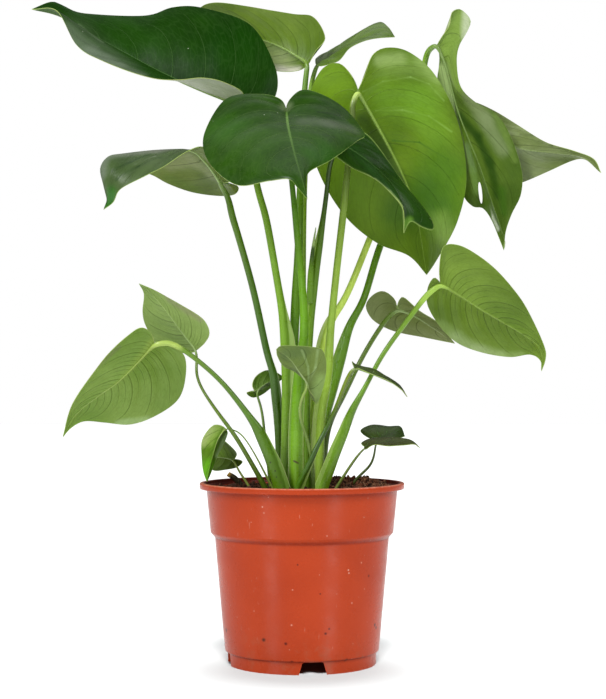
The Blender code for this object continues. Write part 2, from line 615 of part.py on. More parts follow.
def half_depth(half_width):
    """A thin stalk is round; a sheath is flatter than it is wide."""
    extra = np.maximum(half_width - STALK_FLATTEN_FROM, 0.0)
    return np.minimum(half_width, STALK_FLATTEN_FROM) + 0.3 * extra


def stalk_end(leaf):
    """Where the stalk stops, just under the blade's notch, as x, y, z and half width."""
    base = np.array(leaf["rib"][0], float)
    forward = np.array(leaf["rib"][1], float) - base
    to_left = np.array(leaf["left"][1], float) - np.array(leaf["right"][1], float)
    upward = unit(np.cross(forward, to_left))
    arrival = unit(base - np.array(leaf["stalk"][-1][:3], float))
    lean = math.sqrt(max(0.0, 1.0 - float(arrival @ upward) ** 2))
    below = BLADE_THICKNESS / 2.0 + GAP + STALK_END_RADIUS * lean
    return (*(base - upward * below), STALK_END_RADIUS)


def ring_places(path):
    """Where a stalk has rings along its path: at each given point, and halfway between points far apart."""
    places = [0]
    for start in range(0, len(path) - 1, PATH_DETAIL):
        end = start + PATH_DETAIL
        if path_length(path[start : end + 1]) > RING_SPACING:
            places.append((start + end) // 2)
        places.append(end)
    return np.array(places)


def make_stalk(name, points, parts, material):
    """A loft of elliptical rings along the stalk, from its foot in the soil up."""
    path = smooth_path([(*on_lean(points, ROOT_DEPTH), points[0][3])] + points)
    places = ring_places(path)
    centres = path[places]
    direction = unit(path[np.minimum(places + 1, len(path) - 1), :3] - path[np.maximum(places - 1, 0), :3])
    direction[0] = (0.0, 0.0, 1.0)
    wide = unit(np.cross(direction, (0.0, 1.0, 0.0)))
    deep = np.cross(direction, wide)
    turn = np.linspace(0.0, 2.0 * math.pi, STALK_SIDES, endpoint=False)
    half_widths = centres[:, 3]
    shape = bmesh.new()
    ring_verts = []
    for i in range(len(places)):
        ring = (
            centres[i, :3]
            + np.cos(turn)[:, None] * wide[i] * half_widths[i]
            + np.sin(turn)[:, None] * deep[i] * half_depth(half_widths[i])
        )
        ring_verts.append([shape.verts.new(Vector(point) * MM) for point in ring])
    for lower, upper in zip(ring_verts, ring_verts[1:]):
        for k in range(STALK_SIDES):
            after = (k + 1) % STALK_SIDES
            shape.faces.new((lower[k], lower[after], upper[after], upper[k]))
    shape.faces.new(ring_verts[0][::-1])
    shape.faces.new(ring_verts[-1])
    bmesh.ops.recalc_face_normals(shape, faces=shape.faces)
    mesh = bpy.data.meshes.new(name)
    shape.to_mesh(mesh)
    shape.free()
    add_object(name, mesh, parts, material)


def main():
    clear_scene()
    parts = new_collection("potted_monstera")
    cutters = new_collection("cutters")
    cutters.hide_render = True
    make_pot(parts, cutters)
    stalk_material = principled("stalk_green", STALK_GREEN, 0.4)
    for name, leaf in LEAVES.items():
        make_stalk(f"stalk_{name}", leaf["stalk"] + [stalk_end(leaf)], parts, stalk_material)
        blade = make_blade(name, leaf, parts, principled(f"leaf_{name}", leaf["colour"], 0.45))
        if name == SLIT_LEAF:
            cut_slit(blade, cutters)
    make_stalk("dry_stub", DRY_STUB, parts, principled("dry_stalk", DRY_TAN, 0.8))
    stalks = {name: leaf["stalk"] for name, leaf in LEAVES.items()}
    stalks["dry_stub"] = DRY_STUB
    make_soil(parts, stalks)


main()
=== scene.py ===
"""How the potted young monstera looks: its pot, soil, stalks and leaves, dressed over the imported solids.

Lengths in the tables are millimetres, as in the part's source. +Z is up, +X right, +Y away from the viewer.
"""

import math
import random

import bpy
import numpy as np
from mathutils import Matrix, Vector, noise


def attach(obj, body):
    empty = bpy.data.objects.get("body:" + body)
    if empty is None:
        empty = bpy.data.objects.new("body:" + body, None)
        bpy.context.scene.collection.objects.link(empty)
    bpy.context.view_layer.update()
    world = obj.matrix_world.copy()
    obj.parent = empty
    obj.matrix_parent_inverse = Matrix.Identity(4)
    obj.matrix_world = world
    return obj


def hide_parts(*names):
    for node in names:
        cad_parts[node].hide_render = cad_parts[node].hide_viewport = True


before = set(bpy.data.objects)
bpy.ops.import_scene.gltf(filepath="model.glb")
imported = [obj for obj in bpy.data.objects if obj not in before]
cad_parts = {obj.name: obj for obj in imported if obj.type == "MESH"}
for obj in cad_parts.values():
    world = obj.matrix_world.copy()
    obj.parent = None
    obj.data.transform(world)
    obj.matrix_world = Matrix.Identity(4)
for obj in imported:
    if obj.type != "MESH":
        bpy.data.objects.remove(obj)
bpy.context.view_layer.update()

MM = 0.001
random.seed(11)

# The camera stands level, in front of the pot and a little above its lip
CAMERA_PLACE = (0.0, -1.397, 0.2385)
CAMERA_NEAREST = 0.05
IMAGE_HEIGHT = 699
FOCAL_PIXELS = 1665.0
HORIZON_BELOW_MIDDLE = 28.5
AXIS_LEFT_OF_MIDDLE = 1.0

# Each lamp: its azimuth from the camera's side towards the right, its elevation, its strength, its softness
# and what it lights
LAMPS = {
    "left_light": (-52.0, 44.0, 2.35, 22.0, "plant"),
    "right_light": (42.0, 40.0, 0.95, 24.0, "plant"),
    "front_light": (-10.0, 30.0, 0.4, 60.0, "plant"),
    "back_light": (175.0, 62.0, 0.3, 50.0, "plant"),
    "pot_left_light": (-56.0, 42.0, 1.58, 24.0, "pot"),
    "pot_right_light": (56.0, 42.0, 1.48, 24.0, "pot"),
    "pot_front_light": (0.0, 34.0, 0.95, 40.0, "pot"),
    "pot_back_light": (175.0, 62.0, 0.3, 50.0, "pot"),
    "left_bounce": (-42.0, -16.0, 0.3, 16.0, "pot from below"),
    "right_bounce": (41.0, -16.0, 0.3, 16.0, "pot from below"),
    "floor_shading_light": (180.0, 76.0, 5.6, 28.0, "floor past pot"),
    "floor_even_light": (0.0, 56.0, 8.4, 12.0, "floor past soil"),
}
ROOM_LIGHT = 0.16
FLOOR_SIZE = 14.0
FLOOR_DARK = (0.295, 0.302, 0.303, 1.0)
FLOOR_LIGHT = (0.31, 0.317, 0.318, 1.0)

# Pot
POT_HEIGHT = 151.0
RIM_RADIUS = 85.7
LIP_HEIGHT = 4.9
LIP_INNER_RADIUS = 81.2
LIP_INNER_HEIGHT = 2.5
BODY_TOP_RADIUS = 80.0
BAND_BOTTOM = 109.7
BAND_BOTTOM_RADIUS = 76.5
SHOULDER_BOTTOM = 105.7
SHOULDER_RADIUS = 72.9
BODY_BOTTOM_RADIUS = 64.5
WALL = 1.5
FOOT_HEIGHT = 10.9
FOOT_RADIUS = 62.1
FOOT_WALL = 2.2
FLOOR_THICKNESS = 1.6
EDGE_ROUND = 0.6
LONGEST_RING = 9.0
NOTCH_COUNT = 4
FIRST_NOTCH_ANGLE = math.radians(-90.0 + 8.3)
NOTCH_TOP_WIDTH = 17.0
NOTCH_BOTTOM_WIDTH = 23.0
NOTCH_HEIGHT = 10.2
NOTCH_BELOW = 2.0
NOTCH_ROUND = 1.4
DRAIN_RADIUS = 4.5
DRAIN_PLACE = 49.0
DRAIN_CUT = 6.0

# Soil
SOIL_LEVEL = 145.6
SOIL_HEAP = 5.0
SOIL_HEAP_PLACE = (48.0, 42.0)
SOIL_HEAP_SPREAD = 26.0
SOIL_ROUGHNESS = 0.7
SOIL_FIRST_RING = 1.2
GAP = 0.4
CRUMB_COUNT = 260
SLIVER_COUNT = 40
FIBRE_COUNT = 60
CHUNK_COUNT = 70
CHUNK_SPREAD = 16.0
CHUNKS_BEFORE_HEAP = 14.0
CRUMB_REACH = 72.0
CHUNK_REACH = 70.0
FIBRE_REACH = 74.0

# Stalks and blades
ROOT_DEPTH = 136.0
STALK_FLATTEN_FROM = 2.4
# Painted light on stalks: the share of the way round where a lighter ridge is painted, in front and at the
# back
STALK_LIT_RIDGE = 0.18
STUB_RINGS = 34
WING_THICKNESS = 0.7
RIB_END = 0.93
VEIN_SWEEP = 1.8
VEIN_CURVE = 0.24
VEIN_BEND = 1.6
VEIN_STAGGER = 0.4
BLADE_ARCH = 0.06
BLADE_THICKNESS = 0.55
QUILT = 0.05
RIPPLE = 0.7
# For a rib longer than this: columns, rows on each half and side veins on each half
BLADE_GRIDS = [(110.0, 90, 16, 7), (60.0, 64, 12, 6), (0.0, 40, 9, 5)]

# How finely things are made
PATH_DETAIL = 12
CORNER_DETAIL = 4
POT_SIDES = 144
SOIL_SIDES = 120
SOIL_RINGS = 60
STALK_SIDES = 32
RING_SPACING = 1.7

# A patch of colour wanders from its line by no more than this
FARTHEST_WANDER = 8.0

# The end of an old dry stalk: x, y, z, half width
DRY_STUB = [(-52, 33, 146.5, 2.4), (-57.5, 34, 152.2, 2.4), (-63.5, 35, 156, 2.1)]

# The free tip of the narrow leaf's sheath: x, y, z, half width
SHEATH_LEAF = "narrow"
SHEATH_TIP = [(7.5, 6.5, 300, 2.6), (7.2, 5.5, 318, 2.6), (8.0, 5.0, 335, 2.0), (9.6, 5.0, 351, 1.2),
    (11.8, 5.5, 366, 0.3)]

# The slit beside the hanging leaf's rib
SLIT_LEAF = "hanging_right"
SLIT_MIDDLE = (154.6, 45.0, 399.0)
SLIT_HALF_WIDTH = 1.5
SLIT_HALF_LENGTH = 9.0
SLIT_LEAN = math.radians(-9.0)
SLIT_CUT = 50.0

# Each leaf: its stalk as x, y, z, half width, its rib, and its left and right margin between the rib's ends
LEAVES = {
    "top_left": dict(
        stalk=[(-15, 2, 147, 3.8), (-13, 2, 195, 4.5), (-12, 3, 233, 5), (-11.7, 4, 266, 6.5),
            (-15.8, 5, 292, 3.9), (-19.6, 6, 313, 3.1), (-30, 8, 372, 3), (-38, 12, 401, 2.8),
            (-47, 22, 454, 2.5)],
        rib=[(-55, 30, 473), (-88, 40, 487), (-123, 54, 505), (-173, 76, 535), (-215, 92, 561),
            (-243, 100, 570)],
        left=[(-50, 12, 480), (-66, 0, 487), (-84, 0, 490), (-105, 6, 489), (-129, 16, 493),
            (-173, 42, 513), (-197, 60, 530), (-218, 84, 565)],
        right=[(-34, 32, 470), (-22, 38, 484), (-24, 48, 510), (-46, 66, 549), (-89, 86, 568),
            (-115, 92, 570), (-133, 96, 565), (-150, 98, 564), (-185, 102, 566), (-203, 102, 568),
            (-216, 102, 574), (-226, 102, 577)],
    ),
    "top_back": dict(
        stalk=[(-8, 16, 146, 3.5), (-8, 16, 220, 3.8), (-6, 16, 290, 3.9), (-4.5, 18, 318, 3.8),
            (-3, 22, 345, 3.5), (-1.5, 34, 400, 3), (2, 50, 484, 2.5)],
        rib=[(6, 56, 513), (-24, 78, 534), (-61, 106, 549), (-108, 131, 558)],
        left=[(12, 50, 523), (20, 48, 534), (10, 54, 553), (-8, 64, 558), (-50, 88, 570), (-79, 100, 576),
            (-94, 110, 572)],
        right=[(-2, 60, 508), (-19, 78, 510), (-47, 100, 519), (-79, 116, 531)],
    ),
    "top_right": dict(
        stalk=[(2, 22, 146, 3), (2, 26, 220, 3), (1, 36, 306, 2.5), (2, 52, 402, 2.5), (7, 64, 487, 2.2)],
        rib=[(12, 64, 514), (33, 66, 526), (55, 66, 537), (73, 62, 542), (81, 56, 536)],
        left=[(14, 86, 524), (33, 102, 536), (51, 104, 548), (68, 96, 557), (76, 76, 549)],
        right=[(16, 48, 509), (24, 38, 509), (32, 34, 512), (40, 34, 522), (52, 38, 528), (66, 46, 533)],
    ),
    "large_bright": dict(
        stalk=[(13, -8, 148, 5.5), (14, -6, 203, 5.5), (21, -3, 241, 4.5), (24, 0, 279, 3.2),
            (29, 3, 328, 3), (35, 5, 380, 3), (40, 5, 430, 2.5), (43, 4, 459, 2.5), (41.5, 4, 468, 2.5)],
        rib=[(47, 10, 481), (65, 18, 451), (84, 24, 416), (97, 26, 382), (106, 18, 326)],
        left=[(43, 10, 492), (31, 14, 505), (16, 18, 500), (6, 24, 476), (7, 28, 438), (20, 30, 403),
            (40, 32, 374), (65, 32, 354), (91, 26, 343)],
        right=[(53, 10, 494), (60, 12, 512), (73, 16, 519), (92, 22, 516), (114, 32, 499), (133, 38, 463),
            (142, 42, 413), (134, 38, 373), (115, 26, 339)],
    ),
    "front": dict(
        stalk=[(-5, -16, 148, 6.2), (-5, -16, 195, 6.2), (-2.5, -16, 237, 5.5), (1.5, -14, 270, 3.9),
            (1, -13, 304, 3.3), (-3, -12, 346, 2.8), (-7, -12, 387, 2.3), (-11, -12, 428, 2.3)],
        rib=[(-13, -14, 459), (-11, -46, 441), (-5, -90, 411), (0, -118, 391), (4, -134, 374)],
        left=[(-10, -8, 471), (4, -2, 480), (33, -8, 466), (51, -32, 439), (44, -50, 429), (23, -80, 411),
            (6, -102, 399), (3, -118, 387)],
        right=[(-18, -8, 471), (-36, -4, 476), (-64, -10, 471), (-80, -36, 437), (-74, -68, 410),
            (-51, -98, 389), (-26, -108, 391), (-10.5, -113, 392), (-4, -121, 385)],
    ),
    "narrow": dict(
        stalk=[(4, 5, 147, 3.8), (3, 6, 220, 3.8), (6, 8, 279, 3.8), (8, 8, 304, 4.2), (10, 8, 330, 5),
            (14, 8, 351, 3.8), (18, 8, 374, 2.2), (22, 6, 405, 2), (24, 3, 421, 2)],
        rib=[(32, -2, 436), (53, -6, 421), (72, -12, 403), (82, -18, 383), (84, -24, 358)],
        left=[(40, -5, 445), (55, -4, 442), (74, 0, 419), (91, 0, 394), (108, -4, 371), (109, -8, 362),
            (99, -14, 364), (90, -18, 368)],
        right=[(26, -6, 427), (36, -12, 417), (57, -18, 405), (71, -22, 393), (82, -24, 380),
            (84, -25, 370)],
    ),
    "left_drooping": dict(
        stalk=[(-18, 12, 146, 3), (-19, 10, 177, 3.5), (-20, 8, 203, 3.8), (-22, 4, 228, 4.5),
            (-24, 1, 244, 3.2), (-29, 0, 258, 3), (-41, -2, 313, 2.8), (-55, -4, 363, 2.8),
            (-59, -5, 375, 3), (-61.5, -5, 390, 2.4)],
        rib=[(-67, -6, 401), (-80, -8, 418), (-93, -10, 428), (-118, -14, 428), (-148, -20, 424),
            (-160, -23, 421), (-166, -26, 411), (-163, -28, 397), (-160, -28, 387), (-163, -28, 377)],
        left=[(-57, -11, 404), (-67, -22, 417), (-81, -34, 427), (-95, -42, 422), (-113, -50, 409),
            (-126, -54, 402), (-147, -48, 392), (-154, -38, 382)],
        right=[(-54, 4, 400), (-56, 8, 394), (-67, 17, 393), (-82, 27, 395), (-98, 34, 399),
            (-116, 36, 406), (-132, 34, 414), (-154, 14, 416), (-163, -6, 410), (-157, -20, 392)],
    ),
    "hanging_right": dict(
        stalk=[(8, 14, 146, 3.5), (8, 14, 194, 3.8), (13, 15, 241, 4.2), (18, 17, 271, 5),
            (25, 20, 290, 3.8), (32, 22, 298, 3), (42, 25, 318, 2.8), (59, 40, 360, 2.8),
            (73, 48, 393, 2.5), (89, 52, 445, 2.5), (104, 50, 497, 2.5), (107, 50, 515, 2.5),
            (109, 46, 523, 2.5)],
        rib=[(116, 36, 525), (124, 34, 505), (133, 32, 470), (142, 32, 446), (153, 32, 419), (167, 32, 378),
            (174, 32, 357), (173, 31, 348)],
        left=[(120, 38, 518), (120, 42, 511), (118, 46, 504), (118, 49, 492), (125, 52, 471),
            (132, 54, 437), (139, 52, 401), (148, 50, 388), (158, 52, 386), (165, 42, 373)],
        right=[(121, 34, 533), (127, 34, 542), (129, 36, 553), (137, 42, 557), (146, 48, 549),
            (143, 50, 539), (136, 50, 527), (134, 50, 513), (138, 50, 492), (151, 52, 479), (169, 54, 469),
            (181, 54, 451), (191, 52, 420), (190, 48, 398), (181, 42, 380), (175, 35, 364)],
    ),
    "far_right": dict(
        stalk=[(14, 10, 146, 3.5), (17, 12, 194, 4.2), (25, 16, 228, 5), (32, 20, 256, 5.5),
            (41, 26, 284, 3.5), (53, 32, 306, 3), (68, 46, 354, 3), (86, 56, 390, 2.8), (108, 66, 425, 2.8),
            (129, 76, 459, 2.5)],
        rib=[(136, 78, 465), (166, 76, 454), (190, 62, 440), (212, 26, 431), (232, -14, 422),
            (244, -38, 406)],
        left=[(143, 96, 451), (160, 102, 426), (181, 92, 410), (196, 78, 412), (213, 40, 417),
            (233, 4, 423), (241, -24, 414)],
        right=[(136, 72, 475), (148, 74, 483), (168, 76, 476), (191, 66, 460), (208, 36, 442),
            (227, -2, 429), (240, -26, 419)],
    ),
    "lower_right": dict(
        stalk=[(16, -20, 148, 5.8), (27, -20, 177, 5), (34, -20, 193, 4.5), (41, -19, 211, 3.2),
            (52, -18, 230, 2), (67, -16, 258, 2), (91, -14, 291, 2.1), (105, -13, 309, 2.5)],
        rib=[(115, -12, 317), (133, -10, 306), (152, -8, 294), (183, -4, 276), (199, -2, 263),
            (201, 0, 244)],
        left=[(110, -8, 322), (105, -2, 313), (106, 6, 299), (118, 14, 281), (133, 18, 268), (155, 16, 260),
            (176, 10, 256), (192, 4, 258), (200, 0, 253)],
        right=[(114, -16, 330), (117, -20, 347), (129, -24, 348), (144, -26, 340), (162, -24, 326),
            (180, -18, 306), (192, -10, 287), (203, -4, 264), (204, -2, 254)],
    ),
    "olive_right": dict(
        stalk=[(17, 0, 147, 3), (19, 0, 181, 3), (24, 4, 203, 2.5), (35, 8, 223, 2), (50, 14, 254, 2),
            (65, 20, 279, 2), (74, 22, 291, 2)],
        rib=[(81, 26, 298), (97, 29, 291), (114, 30, 280), (131, 30, 268)],
        left=[(79, 28, 306), (70, 32, 313), (61, 36, 310), (55, 38, 301), (60, 40, 290), (72, 40, 282),
            (86, 38, 277), (106, 34, 273)],
        right=[(83, 24, 305), (87, 22, 307), (99, 24, 297), (117, 27, 285)],
    ),
    "lower_left": dict(
        stalk=[(-17, -24, 149, 7), (-23, -24, 168, 6.2), (-29, -24, 181, 5.2), (-35, -24, 194, 5),
            (-40, -24, 202, 3), (-55, -23, 222, 2.2), (-68, -22, 237, 2), (-86, -21, 253, 2),
            (-103, -20, 265, 2.2), (-113, -19, 269, 2.6)],
        rib=[(-122, -18, 267), (-138, -12, 250), (-154, -6, 235), (-170, 0, 224), (-190, 6, 208),
            (-202, 8, 188)],
        left=[(-125, -22, 276), (-133, -26, 280), (-144, -26, 273), (-159, -22, 259), (-174, -14, 242),
            (-188, -4, 224), (-196, 4, 210)],
        right=[(-113, -12, 266), (-99, -4, 258), (-98, 6, 239), (-105, 14, 220), (-125, 18, 206),
            (-146, 18, 199), (-167, 14, 201), (-184, 10, 202), (-195, 8, 196)],
    ),
    "small_left": dict(
        stalk=[(-31, -14, 148, 2.5), (-38, -16, 161, 2), (-55, -18, 190, 1.8), (-68, -14, 207, 1.5),
            (-83, -4, 228, 1.2), (-89, 2, 241, 1.2), (-89, 4, 249, 1.2), (-88, 7, 256, 1.2)],
        rib=[(-89, 10, 262), (-100, 12, 275), (-115, 16, 295), (-129, 20, 311), (-139, 23, 319)],
        left=[(-82, 4, 268), (-78, 0, 275), (-80, 0, 283), (-87, 4, 291), (-107, 10, 303), (-125, 18, 313)],
        right=[(-93, 14, 260), (-105, 20, 260), (-123, 27, 266), (-133, 28, 282), (-136, 26, 295),
            (-135, 24, 310)],
    ),
    "rim_folded": dict(
        stalk=[(-25, -7, 147, 2), (-30, -7, 157, 1.8), (-40, -7, 176, 1.2), (-51, -8, 193, 1.2),
            (-57, -9, 196, 1.2)],
        rib=[(-64, -11, 197), (-70, -14, 187), (-74, -15, 174), (-77, -15, 162), (-79, -13, 152)],
        left=[(-68, -8, 199), (-74, -4, 199), (-80, -2, 193), (-84, -2, 184), (-84, -5, 172),
            (-82, -10, 160)],
        right=[(-62, -6, 193), (-64, -4, 187), (-69, -5, 177), (-73, -8, 167), (-76, -11, 159)],
    ),
    "rim_round": dict(
        stalk=[(-44, -2, 147, 2), (-49, -1, 155, 1.8), (-55, 0, 163, 1.5)],
        rib=[(-57, 4, 170), (-65, 8, 171), (-74, 12, 171), (-82, 16, 167)],
        left=[(-55, 2, 175), (-60, 4, 181), (-68, 8, 187), (-75, 12, 186), (-81, 15, 177)],
        right=[(-50, 6, 168), (-55, 8, 163), (-64, 12, 161), (-75, 15, 160)],
    ),
    "inner_left": dict(
        stalk=[(-27, 14, 146, 2), (-30, 14, 177, 2), (-32, 14, 194, 2), (-34, 14, 211, 1.8),
            (-37, 13, 222, 1.8)],
        rib=[(-40, 12, 227), (-32, 17, 233), (-24, 22, 237), (-15, 26, 239)],
        left=[(-47, 14, 226), (-42, 18, 222), (-33, 22, 225), (-24, 25, 232)],
        right=[(-42, 12, 233), (-39, 16, 240), (-31, 20, 245), (-23, 24, 244)],
    ),
    "small_centre": dict(
        stalk=[(9, -30, 149, 2.2), (9, -30, 163, 2), (7, -31, 178, 1.8), (3, -33, 193, 1.8),
            (-2, -36, 207, 1.5), (-2, -38, 216, 1.5), (1, -42, 225, 1.5)],
        rib=[(5, -46, 233), (-2, -46, 243), (-10, -42, 254), (-21, -38, 262)],
        left=[(6, -44, 228), (10, -38, 223), (12, -34, 217), (17, -36, 230), (20, -40, 247), (17, -42, 261),
            (7, -42, 264), (-7, -40, 265), (-17, -38, 265)],
        right=[(3, -42, 236), (-5, -38, 243), (-15, -36, 248), (-20, -37, 256)],
    ),
    "slim_right": dict(
        stalk=[(-2, -36, 149, 3.8), (2, -37, 160, 3.2), (6, -37, 167, 2.8), (11, -36, 180, 2),
            (21, -33, 199, 1.8), (28, -33, 214, 1.8), (35, -35, 233, 1.8), (39, -37, 243, 1.5)],
        rib=[(42, -38, 248), (54, -39, 243), (68, -39, 237), (79, -38, 231), (86, -37, 223)],
        left=[(41, -31, 252), (45, -25, 249), (58, -22, 246), (69, -24, 240), (80, -29, 233)],
        right=[(43, -43, 246), (47, -50, 246), (57, -54, 241), (70, -50, 236), (82, -43, 228)],
    ),
    "low_upper": dict(
        stalk=[(41, 14, 146, 1.8), (49, 12, 157, 1.5), (58, 11, 163, 1.5), (61, 9, 172, 1.2),
            (62, 7, 180, 1.2)],
        rib=[(62, 6, 186), (71, 8, 191), (79, 10, 193), (87, 12, 189)],
        left=[(54, 14, 189), (50, 24, 194), (60, 32, 198), (75, 32, 197), (84, 24, 197)],
        right=[(59, 2, 187), (65, -6, 187), (75, -6, 188), (82, 4, 188)],
    ),
    "low_edge": dict(
        stalk=[(29, -26, 149, 1.8), (35, -27, 159, 1.5), (43, -28, 171, 1.5), (48, -30, 178, 1.2)],
        rib=[(51, -30, 182), (62, -30, 185), (76, -29, 187), (89, -28, 186), (97, -27, 181)],
        left=[(49, -24, 185), (57, -16, 188), (72, -12, 189), (87, -16, 188), (92, -22, 186)],
        right=[(52, -36, 180), (59, -42, 184), (71, -44, 183), (83, -40, 184), (92, -33, 184)],
    ),
}
